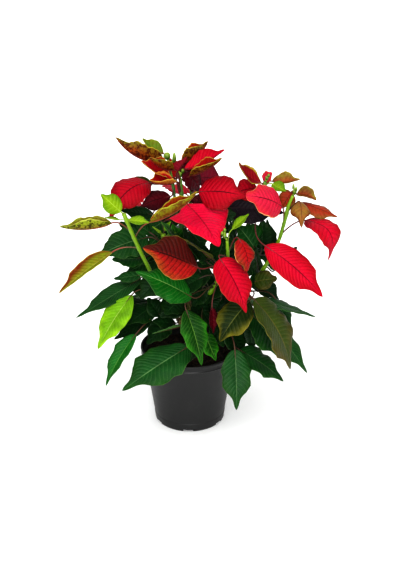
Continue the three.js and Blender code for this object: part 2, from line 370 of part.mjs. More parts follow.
/** Half width of a blade at t, as a part of its greatest half width. */
function outline(form, t) {
  const peak = form.rise / (form.rise + form.fall);
  const shape = (s) => s ** form.rise * (1 - s) ** form.fall;
  const { lobes: places = [], lobe = 0 } = form;
  const lobes = places.map((place) => {
    const reach = t < place ? 0.15 : 0.09;
    return Math.max(0, 1 - Math.abs(t - place) / reach);
  });
  return (shape(t) / shape(peak)) * (1 - lobe) + lobe * Math.max(0, ...lobes);
}

/** The middle surface of a blade: point(t, u) with t along the midrib and u from -1 to 1 across. */
class Blade {
  constructor(row) {
    const { base, tip, width, form = 'bract', face = 0, arch = 0, fold = 0, curl = 0, wave = 0.05 } = row;
    this.rows = width < WIDE && FORMS[form].few ? FORMS[form].few : FORMS[form].rows;
    this.form = FORMS[form];
    this.halfWidth = width / 2;
    this.base = new THREE.Vector3(...base);
    this.tip = new THREE.Vector3(...tip);
    this.fold = THREE.MathUtils.degToRad(fold);
    this.curl = THREE.MathUtils.degToRad(curl);
    this.ripple = wave * width;
    this.phase = Math.sin(tip[0] + 2 * tip[2]);
    const chord = this.tip.clone().sub(this.base);
    this.lean = (row.lean ?? 0) * chord.length();
    const along = chord.clone().normalize();
    const upright = UP.clone().addScaledVector(along, -along.z).normalize();
    const across = along.clone().cross(upright);
    const front = across.dot(FRONT_LEFT) < 0 ? across.clone().negate() : across;
    const turn = THREE.MathUtils.degToRad(face);
    this.normal = upright.multiplyScalar(Math.cos(turn)).addScaledVector(front, Math.sin(turn));
    const middle = this.base.clone().addScaledVector(chord, 0.5)
      .addScaledVector(this.normal, 2 * arch * chord.length());
    this.midrib = new THREE.QuadraticBezierCurve3(this.base, middle, this.tip);
  }

  across(t) {
    return this.midrib.getTangent(t).cross(this.normal).normalize();
  }

  point(t, u) {
    const across = this.across(t);
    const normal = across.clone().cross(this.midrib.getTangent(t));
    const reach = this.halfWidth * outline(this.form, t);
    const bend = this.curl * Math.abs(u);
    const chordAngle = this.fold + bend / 2;
    const shrink = Math.abs(bend) < 1e-6 ? 1 : Math.sin(bend / 2) / (bend / 2);
    const out = reach * Math.abs(u) * shrink;
    const ripple = this.ripple * u * u * Math.sin(Math.PI * (3 * t + this.phase + Math.sign(u) / 2))
      * Math.sin(Math.PI * Math.sqrt(t));
    return this.midrib.getPoint(t)
      .addScaledVector(across, Math.sign(u) * out * Math.cos(chordAngle))
      .addScaledVector(normal, out * Math.sin(chordAngle) + ripple)
      .addScaledVector(this.midrib.getTangent(t), this.lean * u * outline(this.form, t));
  }

  /** The surface's upward normal at a point, from its neighbours. */
  facing(t, u) {
    const [t0, t1] = [Math.max(t - 0.04, 0.02), Math.min(t + 0.04, 0.98)];
    const [u0, u1] = [Math.max(u - 0.25, -1), Math.min(u + 0.25, 1)];
    const alongRib = this.point(t1, u).sub(this.point(t0, u));
    const acrossRib = this.point(t, u1).sub(this.point(t, u0));
    return acrossRib.cross(alongRib).normalize();
  }

  /** Corners above and below the middle surface at t, from one margin to the other. */
  row(t, columns) {
    return Array.from({ length: columns + 1 }, (_, j) => this.cornerPair(t, (2 * j) / columns - 1));
  }

  cornerPair(t, u) {
    const offset = this.facing(Math.min(Math.max(t, 0.06), 0.94), u).multiplyScalar(BLADE_THICKNESS / 2);
    const middle = this.point(t, u);
    return [middle.clone().add(offset), middle.clone().sub(offset)];
  }
}

/** The petiole's path from the stem to the blade, leaving the stem outwards and a little upwards. */
function petiolePath(row, axis, blade) {
  const start = axis.getPointAt(row.at);
  const reach = start.distanceTo(blade.base);
  const outward = blade.base.clone().sub(start).normalize().addScaledVector(UP, 0.35).normalize();
  return new THREE.CubicBezierCurve3(
    start,
    start.clone().addScaledVector(outward, 0.4 * reach),
    blade.base.clone().addScaledVector(blade.midrib.getTangent(0), -0.35 * reach),
    blade.base,
  );
}

/** Rings of four corners along a petiole: left, top, right and bottom, as the blade lies. */
function petioleRings(path, blade) {
  const rings = [];
  let side = blade.across(0);
  for (let i = PETIOLE.steps; i >= 0; i -= 1) {
    const along = path.getTangent(i / PETIOLE.steps);
    side = side.clone().addScaledVector(along, -side.dot(along)).normalize();
    const top = side.clone().cross(along);
    const middle = path.getPoint(i / PETIOLE.steps);
    rings.unshift([
      middle.clone().addScaledVector(side, -PETIOLE.radius), middle.clone().addScaledVector(top, PETIOLE.radius),
      middle.clone().addScaledVector(side, PETIOLE.radius), middle.clone().addScaledVector(top, -PETIOLE.radius),
    ]);
  }
  return rings;
}

/** One blade and its petiole as a single closed skin. */
function leafSolid(leaf, axis) {
  const blade = new Blade(leaf);
  const columns = leaf.form === 'small' ? 2 : 4;
  const corners = [];
  const triangles = [];
  const add = (point) => corners.push(point) - 1;

  const rings = petioleRings(petiolePath(leaf, axis, blade), blade).map((ring) => ring.map(add));
  triangles.push([rings[0][0], rings[0][2], rings[0][1]], [rings[0][0], rings[0][3], rings[0][2]]);
  for (let i = 0; i < PETIOLE.steps; i += 1) {
    for (let k = 0; k < 4; k += 1) {
      const next = (k + 1) % 4;
      triangles.push([rings[i][k], rings[i][next], rings[i + 1][next]]);
      triangles.push([rings[i][k], rings[i + 1][next], rings[i + 1][k]]);
    }
  }

  const middleRows = blade.rows.slice(1, -1).map((t) => blade.row(t, columns));
  const tops = middleRows.map((row) => row.map(([top]) => add(top)));
  const bottoms = middleRows.map((row) => row.map(([, bottom]) => add(bottom)));
  const [tipTop, tipBottom] = blade.cornerPair(1, 0).map(add);
  tops.push(Array(columns + 1).fill(tipTop));
  bottoms.push(Array(columns + 1).fill(tipBottom));

  const [left, top, right, bottom] = rings[PETIOLE.steps];
  addCollar(triangles, [left, top, right], tops[0], false);
  addCollar(triangles, [left, bottom, right], bottoms[0], true);
  triangles.push([tops[0][0], bottoms[0][0], left], [right, bottoms[0][columns], tops[0][columns]]);
  for (let i = 0; i + 1 < tops.length; i += 1) {
    addStrip(triangles, tops[i], tops[i + 1], false);
    addStrip(triangles, bottoms[i], bottoms[i + 1], true);
    const rim = [[i + 1, i, 0], [i, i + 1, columns]];
    rim.forEach(([near, far, j]) => {
      triangles.push([tops[near][j], bottoms[near][j], bottoms[far][j]]);
      triangles.push([tops[near][j], bottoms[far][j], tops[far][j]]);
    });
  }
  const whole = triangles.filter(([a, b, c]) => a !== b && b !== c && c !== a);
  return solidOf(closedMesh(corners, whole));
}

/** Joins half of a petiole's last ring to the blade's first row. */
function addCollar(triangles, [left, middle, right], row, flipped) {
  const last = row.length - 1;
  const skin = [[left, row[1], row[0]], [left, middle, row[1]], [middle, right, row[last - 1]],
    [right, row[last], row[last - 1]]];
  for (let j = 1; j < last - 1; j += 1) skin.push([middle, row[j + 1], row[j]]);
  skin.forEach(([a, b, c]) => triangles.push(flipped ? [a, c, b] : [a, b, c]));
}

/** Joins two rows of a blade, with the same diagonals above and below. */
function addStrip(triangles, low, high, flipped) {
  const columns = low.length - 1;
  for (let j = 0; j < columns; j += 1) {
    const [a, b, c, d] = [low[j], low[j + 1], high[j + 1], high[j]];
    const halves = j < columns / 2 ? [[a, b, c], [a, c, d]] : [[a, b, d], [b, c, d]];
    halves.forEach(([p, q, r]) => triangles.push(flipped ? [p, r, q] : [p, q, r]));
  }
}

// ---------------------------------------------------------------- pot, soil and trunk

/** The pot's wall, a thin shell with a straight band at the rim and a foot ring below. */
function potSolid() {
  const p = POT;
  const inner = (radius) => radius - p.wall;
  const footInner = p.baseRadius - p.footWidth;
  const bandFoot = p.height - p.bandHeight;
  const profile = [
    [0, 0], [p.padRadius, 0], [p.padRadius + 2, p.footRise], [footInner, p.footRise], [footInner, 0],
    [p.baseRadius - p.edgeRound, 0], [p.baseRadius, p.edgeRound],
    [p.shoulderRadius, bandFoot], [p.rimRadius - p.bandTaper, bandFoot + 0.6],
    [p.rimRadius, p.height - 1], [p.rimRadius - 0.8, p.height],
    [inner(p.rimRadius) + 0.4, p.height], [inner(p.rimRadius) - p.bandTaper, bandFoot + 2],
    [inner(p.shoulderRadius), bandFoot - 1], [inner(p.baseRadius) - 0.6, p.footRise + p.floor],
    [p.padRadius + 1, p.footRise + p.floor], [p.padRadius - 1, p.floor], [0, p.floor],
  ].map(([r, z]) => new THREE.Vector2(r, z));
  const shell = solidOf(new THREE.LatheGeometry(profile, p.sides).rotateX(Math.PI / 2));
  const cuts = Array.from({ length: p.drains }, (_, k) => {
    const angle = (2 * Math.PI * k) / p.drains - Math.PI / 2 - 0.04;
    const notch = new THREE.BoxGeometry(2 * p.footWidth + 4, p.drainWidth, 2 * p.footRise)
      .translate(p.baseRadius, 0, 0).rotateZ(angle);
    const hole = new THREE.CylinderGeometry(p.drainHoleRadius, p.drainHoleRadius, 12, 10)
      .rotateX(Math.PI / 2).translate((p.padRadius + footInner) / 2 + 1, 0, p.footRise).rotateZ(angle);
    return solidOf(notch).add(solidOf(hole));
  });
  return cuts.reduce((pot, cut) => pot.subtract(cut), shell);
}

/** The inside radius of the pot's wall below the band, at a height. */
function insideRadius(z) {
  const [low, high] = [POT.footRise + POT.floor, POT.height - POT.bandHeight - 1];
  const [foot, shoulder] = [POT.baseRadius - POT.wall - 0.6, POT.shoulderRadius - POT.wall];
  return foot + ((shoulder - foot) * (z - low)) / (high - low);
}

/** The peat that fills the pot, slightly crowned, with a plain hole for the trunk. */
function soilSolid() {
  const top = POT.height - SOIL.depthBelowRim - 1;
  const low = POT.footRise + POT.floor + CLEARANCE;
  const hole = TRUNK.radius + CLEARANCE;
  const profile = [
    [0, low], [insideRadius(low) - SOIL.gap, low], [insideRadius(top) - SOIL.gap, top],
    [insideRadius(top) * 0.6, top + SOIL.crown * 0.7], [hole, top + SOIL.crown],
    [hole, TRUNK.foot - CLEARANCE], [0, TRUNK.foot - CLEARANCE],
  ].map(([r, z]) => new THREE.Vector2(r, z));
  return solidOf(new THREE.LatheGeometry(profile, POT.sides).rotateX(Math.PI / 2));
}

const axes = Object.fromEntries(Object.entries(SHOOTS).map(([name, shoot]) => [
  name, [shoot.axis, ...(shoot.forks ?? [])].map(curveOf),
]));

/** The woody trunk with the stub of each branch, which a shoot meets end to end. */
function trunkSolid() {
  const post = bar(
    [new THREE.Vector3(0, 0, TRUNK.foot), new THREE.Vector3(0, 0, 105), new THREE.Vector3(0, 2.5, TRUNK.top)],
    TRUNK.radius - 0.05, TRUNK.topRadius, TRUNK.sides,
  );
  const stubs = Object.values(axes).map(([axis]) => {
    const end = STEM.woodyPart - (2 * CLEARANCE) / axis.getLength();
    return bar(stretch(axis, 0, end, 1), STEM.radius * 1.35, STEM.radius * 1.1, STEM.sides);
  });
  return union([post, ...stubs]);
}

// ---------------------------------------------------------------- shoots

const BRACT_STEM = 0.9; // where a shoot's axis turns from green stem to flower stem

/** Where the flower stem starts: below the lowest bract that grows from the axis. */
function bractStart(name) {
  const lowest = Math.min(...BRACTS[name].filter((row) => !row.on).map((row) => row.at));
  const forkStart = SHOOTS[name].forks ? 0.55 : 1;
  return Math.min(BRACT_STEM, lowest - 0.02, forkStart);
}

const axisOf = (name, row) => axes[name][row.on ?? 0];

function leafySolid(name) {
  const [axis] = axes[name];
  const end = BRACTS[name] ? bractStart(name) - (1.2 * CLEARANCE) / axis.getLength() : 1;
  const stem = bar(stretch(axis, STEM.woodyPart, end, 7), STEM.radius, STEM.tipRadius * 1.05, STEM.sides);
  return union([stem, ...LEAVES[name].map((row) => leafSolid(row, axisOf(name, row)))]);
}

function bractsSolid(name) {
  const [axis, ...forks] = axes[name];
  const stems = [
    bar(stretch(axis, bractStart(name), 1, 4), STEM.tipRadius, STEM.tipRadius * 0.9, STEM.sides),
    ...forks.map((fork) => bar(stretch(fork, 0, 1, 4), STEM.tipRadius * 0.9, STEM.tipRadius * 0.8, STEM.sides)),
  ];
  return union([...stems, ...BRACTS[name].map((row) => leafSolid(row, axisOf(name, row)))]);
}

/** A few small cups that stand close together on one short stalk at a stem's end. */
function cyathiaSolid({ shoot, on = 0, cups }) {
  const axis = axes[shoot][on];
  const centres = cups.map(([x, y, z]) => new THREE.Vector3(x, y, z));
  const bodies = cups.map(([x, y, z, radius, stretchUp]) => solidOf(
    new THREE.SphereGeometry(radius, 5, 4).rotateX(Math.PI / 2).scale(1, 1, stretchUp).translate(x, y, z),
  ));
  const foot = axis.getPoint(1).addScaledVector(axis.getTangent(1), 2 * CLEARANCE);
  const stalks = [foot, ...centres.slice(1)].map((end) => bar([centres[0], end], CUP_STALK, CUP_STALK, 4));
  return union([...bodies, ...stalks]);
}

// ---------------------------------------------------------------- assembly

function node(name, solid, colour, roughness) {
  const material = new THREE.MeshStandardMaterial({ color: colour, roughness, metalness: 0 });
  const mesh = new THREE.Mesh(geometryOf(solid), material);
  mesh.name = name;
  return mesh;
}

const poinsettia = new THREE.Group();
poinsettia.add(
  node('pot', potSolid(), COLOURS.pot, 0.45),
  node('soil', soilSolid(), COLOURS.soil, 1),
  node('trunk', trunkSolid(), COLOURS.wood, 0.9),
);
Object.keys(SHOOTS).forEach((name) => {
  poinsettia.add(node(`${name}_leaves`, leafySolid(name), COLOURS.leaf, 0.4));
  if (BRACTS[name]) poinsettia.add(node(`${name}_bracts`, bractsSolid(name), COLOURS.bract, 0.5));
});
Object.entries(CYATHIA).forEach(([name, head]) => {
  poinsettia.add(node(`${name}_cyathia`, cyathiaSolid(head), COLOURS.cyathia, 0.5));
});

export default poinsettia;
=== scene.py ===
"""A poinsettia in its nursery pot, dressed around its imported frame.

Sizes in the tables are millimetres in the part's own frame: +Z up, the plant's front towards -Y,
the origin at the centre of the pot's flat base. Meshes are in metres. Colours are 0xRRGGBB.
"""

from __future__ import annotations

import logging
import math
from collections.abc import Callable, Iterable
from dataclasses import dataclass, field, replace
from enum import Enum
from functools import cache, partial

import bmesh
import bpy
import numpy as np
from mathutils import Matrix, Vector, noise

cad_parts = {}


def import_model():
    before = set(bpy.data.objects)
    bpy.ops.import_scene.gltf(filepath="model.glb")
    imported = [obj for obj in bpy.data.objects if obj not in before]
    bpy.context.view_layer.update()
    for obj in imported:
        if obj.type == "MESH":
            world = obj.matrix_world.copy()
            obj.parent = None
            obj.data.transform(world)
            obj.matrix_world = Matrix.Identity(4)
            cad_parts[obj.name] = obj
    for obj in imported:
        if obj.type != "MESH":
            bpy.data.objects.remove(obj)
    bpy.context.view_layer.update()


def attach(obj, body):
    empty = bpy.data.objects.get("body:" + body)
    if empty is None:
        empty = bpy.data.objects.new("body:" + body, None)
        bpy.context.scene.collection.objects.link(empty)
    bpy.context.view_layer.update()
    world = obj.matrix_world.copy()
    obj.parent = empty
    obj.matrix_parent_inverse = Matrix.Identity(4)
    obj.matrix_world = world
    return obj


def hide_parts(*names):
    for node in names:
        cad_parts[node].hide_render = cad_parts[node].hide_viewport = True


MM = 0.001
WELD = 1e-7  # corners closer than this, in metres, are one
SWEEP = 0.2  # how far side veins run forward on their way out, as a part of the blade's length
UP = np.array([0.0, 0.0, 1.0])
FRONT_LEFT = np.array([-0.5, -1.0, 0.0])
Point = tuple[float, float, float]
Number = "Value | float"
Paint = "bpy.types.NodeSocket | tuple[float, ...] | int"

log = logging.getLogger("poinsettia")


def srgb(code: int) -> tuple[float, ...]:
    """Turns a colour of 0xRRGGBB into the linear colour that a shader takes."""
    channels = [(code >> shift & 255) / 255 for shift in (16, 8, 0)]
    return (*(c / 12.92 if c <= 0.04045 else ((c + 0.055) / 1.055) ** 2.4 for c in channels), 1.0)


# ---------------------------------------------------------------- shader maths


class Value:
    """A number socket. Arithmetic on it adds Math nodes to its shader."""

    def __init__(self, shader: Shader, socket: bpy.types.NodeSocket) -> None:
        """Wraps a socket of the shader's tree."""
        self.shader = shader
        self.socket = socket

    def _math(self, operation: str, *operands: Number) -> Value:
        """Adds a Math node for the operands."""
        return self.shader.value("Math", dict(enumerate(operands)), operation=operation)

    def __add__(self, other: Number) -> Value:
        """Adds."""
        return self._math("ADD", self, other)

    def __sub__(self, other: Number) -> Value:
        """Subtracts."""
        return self._math("SUBTRACT", self, other)

    def __rsub__(self, other: Number) -> Value:
        """Subtracts from the other value."""
        return self._math("SUBTRACT", other, self)

    def __mul__(self, other: Number) -> Value:
        """Multiplies."""
        return self._math("MULTIPLY", self, other)

    def __pow__(self, other: Number) -> Value:
        """Raises to a power."""
        return self._math("POWER", self, other)

    def __abs__(self) -> Value:
        """Drops the sign."""
        return self._math("ABSOLUTE", self)

    __radd__ = __add__
    __rmul__ = __mul__

    def above(self, edge: float) -> Value:
        """Gives 1 where the value is greater than the edge, else 0."""
        return self._math("GREATER_THAN", self, edge)

    def to_nearest(self) -> Value:
        """Gives the distance to the nearest whole number, 0 to 0.5."""
        return abs(self - self._math("ROUND", self))

    def step(self, low: Number, high: Number) -> Value:
        """Rises smoothly from 0 at low to 1 at high."""
        sockets = {"Value": self, "From Min": low, "From Max": high}
        return self.shader.value("MapRange", sockets, interpolation_type="SMOOTHSTEP")


class Shader:
    """A material whose node tree is written as expressions around one Principled shader."""

    def __init__(self, name: str) -> None:
        """Makes an empty material with the shader and its output.

        Args:
            name: The material's name.
        """
        self.material = bpy.data.materials.new(name)
        self.material.use_nodes = True
        self.tree = self.material.node_tree
        self.tree.nodes.clear()
        self.surface = self.node("BsdfPrincipled")
        self.node("OutputMaterial", {"Surface": self.surface.outputs[0]})

    def node(self, kind: str, sockets: dict[str | int, object] | None = None,
             **settings: object) -> bpy.types.Node:
        """Adds a node.

        Args:
            kind: The node's type, without its "ShaderNode".
            sockets: Values or links of its input sockets, by name or number.
            settings: Its own settings, which are set first.

        Returns:
            The new node.
        """
        node = self.tree.nodes.new("ShaderNode" + kind)
        for key, setting in settings.items():
            setattr(node, key, setting)
        for key, value in (sockets or {}).items():
            self.feed(node.inputs[key], value)
        return node

    def feed(self, socket: bpy.types.NodeSocket, value: object) -> None:
        """Links or sets an input socket.

        Args:
            socket: The input.
            value: A value or socket to link, or a number or colour to set.
        """
        if isinstance(value, Value):
            value = value.socket
        if isinstance(value, bpy.types.NodeSocket):
            self.tree.links.new(value, socket)
        else:
            socket.default_value = value

    def value(self, kind: str, sockets: dict[str | int, object] | None = None, out: str | int = 0,
              **settings: object) -> Value:
        """Adds a node and returns one of its outputs as a value."""
        return Value(self, self.node(kind, sockets, **settings).outputs[out])

    def mix(self, amount: Number, first: Paint, second: Paint, blend: str = "MIX") -> bpy.types.NodeSocket:
        """Mixes two colours, linked or set, by an amount of 0 to 1.

        Args:
            amount: How much of the second.
            first: The first colour.
            second: The second colour.
            blend: How they are blended.

        Returns:
            The mixed colour.
        """
        first, second = (srgb(paint) if isinstance(paint, int) else paint for paint in (first, second))
        mixed = self.node("Mix", {0: amount, 6: first, 7: second}, data_type="RGBA", blend_type=blend)
        return mixed.outputs[2]

    def place(self, kind: str = "Object") -> bpy.types.NodeSocket:
        """The position on the object, or in its UV map."""
        return self.node("TexCoord").outputs[kind]

    def map_place(self) -> tuple[Value, Value]:
        """The two numbers of the piece's UV map: across and along."""
        split = self.node("SeparateXYZ", {0: self.place("UV")})
        return Value(self, split.outputs[0]), Value(self, split.outputs[1])

    def attribute(self, name: str) -> Value:
        """A number that the mesh carries on its points."""
        return self.value("Attribute", out="Fac", attribute_name=name)

    def grain(self, size: float, detail: float = 3.0, rough: float = 0.5) -> Value:
        """Soft noise of 0 to 1 with spots of a size in millimetres."""
        sockets = {"Vector": self.place(), "Scale": 1 / (size * MM), "Detail": detail, "Roughness": rough}
        return self.value("TexNoise", sockets, "Fac")

    def cells(self, size: float) -> Value:
        """Distance to the walls of cells of a size in millimetres."""
        sockets = {"Vector": self.place(), "Scale": 1 / (size * MM)}
        return self.value("TexVoronoi", sockets, "Distance", feature="DISTANCE_TO_EDGE")

    def bump(self, height: Number, depth: float, strength: float = 1.0) -> None:
        """Raises the surface by a height of 0 to 1 times a depth in millimetres."""
        sockets = {"Height": height, "Distance": depth * MM, "Strength": strength}
        self.set(Normal=self.node("Bump", sockets).outputs[0])

    def set(self, **sockets: object) -> None:
        """Sets the shader's own sockets; an underscore stands for a space."""
        for name, value in sockets.items():
            self.feed(self.surface.inputs[name.replace("_", " ")], value)


# ---------------------------------------------------------------- finishes


@dataclass(frozen=True)
class Finish:
    """A named material."""

    name: str

    def paint(self, s: Shader) -> None:
        """Lays the material's colours and relief."""
        raise NotImplementedError

    @cache
    def make(self) -> bpy.types.Material:
        """Builds the material, once.

        Returns:
            The material.
        """
        s = Shader(self.name)
        self.paint(s)
        return s.material


@dataclass(frozen=True)
class Skin(Finish):
    """One side of a blade: its colours and how they are laid over it."""

    body: int
    heart: int  # along the midrib and at the base
    outer: int  # towards the margin and the tip
    vein: int
    veined: float = 0.6
    mottle: int = 0x000000
    mottled: float = 0.0
    margin: int = 0x000000
    edged: float = 0.0  # width of the margin's own colour, as a part of the half width
    roughness: float = 0.4
    reach: float = 0.5  # how far the heart's colour goes out
    relief: float = 0.5
    aside: float = 0.0  # how far the outer colour leans to one side
    gloss: float = 0.16
    # A painted shade: a darker colour laid over the right half, for a half that is turned from the light.
    shaded_half_colour: int = 0x000000
    shaded_half_amount: float = 0.0  # how far a painted shade covers the right half
    mottling_and_shade: float = 0.3  # how far broad patches lighten and darken: partly the blade's own mottling, partly painted light and shade

    BROAD, FINE, NET, SPOT = 16, 2.4, 1.9, 6  # sizes of the patches, grain, small veins and spots
    WANDER = ((9, 0.2), (30, 0.9))  # how the side veins wander: the size and amount of two noises

    def _side_veins(self, s: Shader, across: Value, along: Value) -> Value:
        """How far a place is from the nearest side vein: 0 on it, 1 midway to the next.

        Args:
            s: The material's shader.
            across: The number across of the UV map.
            along: The number along.

        Returns:
            The distance.
        """
        (near, little), (far, much) = self.WANDER
        out = abs(across * 2 - 1)
        sweep = s.attribute("veins") * (along - SWEEP * out ** 1.2) + 0.5 * across.above(0.5)
        wobble = (s.grain(near, 1) - 0.5) * little + (s.grain(far, 1) - 0.5) * much
        return (sweep + wobble).to_nearest() * 2

    def paint(self, s: Shader) -> None:
        """Lays the body's colours, then the veins and the margin, then light and dark patches.

        Args:
            s: The material's shader.
        """
        across, along = s.map_place()
        side = across * 2 - 1
        out = abs(side)
        gap = self._side_veins(s, across, along)
        fade = (1 - along.step(0.8, 0.97)) * (1 - out.step(0.75, 1.0) * 0.7)
        net = 1 - s.cells(self.NET).step(0.02, 0.14)
        broad, fine = s.grain(self.BROAD, 3), s.grain(self.FINE, 4, 0.6)

        spread = (out + (broad - 0.5) * 0.7).step(self.reach - 0.5, self.reach + 0.35)
        colour = s.mix(spread, self.heart, self.body)
        rim = out * 0.6 + along * 0.55 + side * self.aside + (broad - 0.5) * 0.5
        colour = s.mix(rim.step(0.5, 1.0), colour, self.outer)
        # Painted shade: darkens the right half.
        if self.shaded_half_amount:
            half = (side + (broad - 0.5) * 0.3).step(-0.08, 0.16)
            colour = s.mix(half * self.shaded_half_amount, colour, self.shaded_half_colour)
        if self.mottled:
            spots = (fine * 0.6 + s.grain(self.SPOT, 2) * 0.5).step(0.5, 0.62)
            colour = s.mix(spots * self.mottled, colour, self.mottle)

        between = (net * 0.2 + (1 - gap.step(0.0, 0.7)) * 0.1 * fade) * self.veined
        lateral = (1 - gap.step(0.02, 0.16)) * fade * min(1.0, 0.5 * self.veined)
        midrib = (1 - out.step(0.008, 0.032 + along * 0.02)) * min(1.0, self.veined * 2.2)
        for amount in (between, lateral, midrib):
            colour = s.mix(amount, colour, self.vein)
        if self.edged:
            edge = (out + (fine - 0.5) * 0.05).step(1 - self.edged, 1 - self.edged * 0.35)
            colour = s.mix(edge * 0.85, colour, self.margin)

        # Broad patches are painted lighter and darker, partly the blade's own mottling and partly painted
        # light and shade; the fine grain and each blade's own lightness add to them.
        light = (fine - 0.5) * 0.42 + (broad - 0.5) * self.mottling_and_shade + s.attribute("shade")
        grey = s.node("CombineColor", {0: light, 1: light, 2: light}).outputs[0]
        s.set(Base_Color=s.mix(1.0, colour, grey, "MULTIPLY"), IOR=1.42, Specular_IOR_Level=self.gloss,
              Roughness=self.roughness + (broad - 0.5) * 0.16 + net * 0.06)
        s.bump(gap.step(0.0, 0.8) * fade * 0.8 + (1 - net) * 0.2 + fine * 0.25, self.relief, 0.8)


@dataclass(frozen=True)
class Stalk(Finish):
    """A stem or petiole: its colour runs from its foot to its end."""

    foot: int
    body: int
    end: int
    roughness: float = 0.45

    DARKER = 0.55  # the streaks' lightness, as a part of the foot's

    def paint(self, s: Shader) -> None:
        """Lays the three colours and dark streaks.

        Args:
            s: The material's shader.
        """
        _, along = s.map_place()
        streaks, fine = s.grain(5, 3), s.grain(1.4, 3)
        colour = s.mix((along + (streaks - 0.5) * 0.3).step(0.0, 0.4), self.foot, self.body)
        colour = s.mix((along + (streaks - 0.5) * 0.25).step(0.55, 1.0), colour, self.end)
        dark = (*(c * self.DARKER for c in srgb(self.foot)[:3]), 1.0)
        colour = s.mix((fine * 0.6 + streaks * 0.4).step(0.56, 0.72) * 0.35, colour, dark)
        s.set(Base_Color=colour, Roughness=self.roughness + (fine - 0.5) * 0.15, Specular_IOR_Level=0.4)
        s.bump(fine * 0.6 + streaks * 0.4, 0.3, 0.5)


@dataclass(frozen=True)
class Bark(Finish):
    """The woody trunk: grey brown with green showing through and raised scars."""

    name: str = "bark"
    brown: int = 0x685434
    green: int = 0x60682C
    scar: int = 0x403022

    def paint(self, s: Shader) -> None:
        """Lays green patches and scars over the brown.

        Args:
            s: The material's shader.
        """
        coarse, fine = s.grain(7, 4), s.grain(1.6, 4, 0.65)
        colour = s.mix(coarse.step(0.4, 0.62), self.brown, self.green)
        colour = s.mix(fine.step(0.52, 0.66) * 0.7, colour, self.scar)
        s.set(Base_Color=colour, Roughness=0.78 + (fine - 0.5) * 0.2)
        s.bump(fine * 0.7 + coarse * 0.3, 0.8, 0.8)


@dataclass(frozen=True)
class MouldedPlastic(Finish):
    """Satin charcoal plastic, with a soft moulded grain and a little dust."""

    name: str = "pot_plastic"
    body: int = 0x222222
    dust: int = 0x363533

    def paint(self, s: Shader) -> None:
        """Lays dust over the plastic, and a grain that runs round it.

        Args:
            s: The material's shader.
        """
        stretch = s.node("Mapping", {"Vector": s.place(), "Scale": (1.0, 1.0, 5.0)}).outputs[0]
        rings = s.value("TexNoise", {"Vector": stretch, "Scale": 60.0, "Detail": 4.0}, "Fac")
        grain, cloud = s.grain(0.5, 2), s.grain(28, 3)
        colour = s.mix((cloud * 0.6 + s.grain(2.2, 3) * 0.5).step(0.58, 0.8) * 0.3, self.body, self.dust)
        s.set(Base_Color=colour, Specular_IOR_Level=0.28,
              Roughness=0.4 + (cloud - 0.5) * 0.14 + (rings - 0.5) * 0.1)
        s.bump(grain * 0.5 + rings * 0.5, 0.12, 0.35)


@dataclass(frozen=True)
class Peat(Finish):
    """Moist dark peat with paler fibres."""

    name: str = "peat"
    dark: int = 0x1A120E
    brown: int = 0x3E2C20
    fibre: int = 0x785C3E

    def paint(self, s: Shader) -> None:
        """Lays brown lumps and pale fibres over the dark.

        Args:
            s: The material's shader.
        """
        lumps, fine = s.grain(4, 4, 0.6), s.grain(0.9, 3, 0.6)
        colour = s.mix(lumps.step(0.42, 0.66), self.dark, self.brown)
        colour = s.mix(fine.step(0.64, 0.74) * 0.6, colour, self.fibre)
        s.set(Base_Color=colour, Roughness=0.85 + (fine - 0.5) * 0.2, Specular_IOR_Level=0.25)
        s.bump(lumps * 0.5 + fine * 0.5, 1.2, 0.9)


@dataclass(frozen=True)
class CupFlesh(Finish):
    """The waxy flesh of a cyathium: yellow green, greener below."""

    name: str = "cyathium"
    low: int = 0x365812
    high: int = 0x748C20
    lip: int = 0xA07E24

    def paint(self, s: Shader) -> None:
        """Lays the greens, and the warmer lip at the top.

        Args:
            s: The material's shader.
        """
        _, along = s.map_place()
        fine = s.grain(1.2, 2)
        colour = s.mix((along + (fine - 0.5) * 0.3).step(0.2, 0.8), self.low, self.high)
        colour = s.mix(along.step(0.88, 0.97) * 0.7, colour, self.lip)
        s.set(Base_Color=colour, Roughness=0.38 + (fine - 0.5) * 0.2)
        s.bump(fine, 0.2, 0.4)


# ---------------------------------------------------------------- the plant's own tones

LIME_STEM = Stalk("lime_stem", 0x5E4024, 0x5E800E, 0x709014, 0.34)
GREEN_STEM = Stalk("green_stem", 0x463422, 0x30541C, 0x567C24)
RED_STALK = Stalk("red_stalk", 0x48281C, 0x622222, 0x7A1A22)
PINK_STALK = Stalk("pink_stalk", 0x4A3C22, 0x844030, 0x786032)
LEAF_STALK = Stalk("leaf_stalk", 0x2C3214, 0x462A1A, 0x3C461C)
# Painted shade: a darker copy of the leaf stalk, for the stalks of shaded leaves.
SHADED_STALK = Stalk("shaded_stalk", 0x282C18, 0x3A281C, 0x2C381E)
LIME_STALK = Stalk("lime_stalk", 0x687826, 0x789224, 0x829A26)

CRIMSON_BACK = Skin("crimson_back", 0x841A2E, 0x8C2434, 0x7C1626, 0x9C464E, 0.4, roughness=0.6)
ROSE_BACK = Skin("rose_back", 0x6A2232, 0x722A38, 0x581A28, 0x7E4048, 0.3, roughness=0.6)
TAN_BACK = Skin("tan_back", 0x7C5C26, 0x86562A, 0x705822, 0x967442, 0.4, 0x543218, 0.4, roughness=0.6)
FOLDED_SKIN = Skin("folded", 0x7A821E, 0x888E2C, 0x6C200E, 0x424A10, 0.8, 0x785422, 0.35, 0xA09C42, 0.05,
                   aside=0.3)


@dataclass(frozen=True)
class Look:
    """A tone of blade: its upper and lower skins and its petiole."""

    upper: Skin
    lower: Skin = CRIMSON_BACK
    stalk: Stalk = RED_STALK


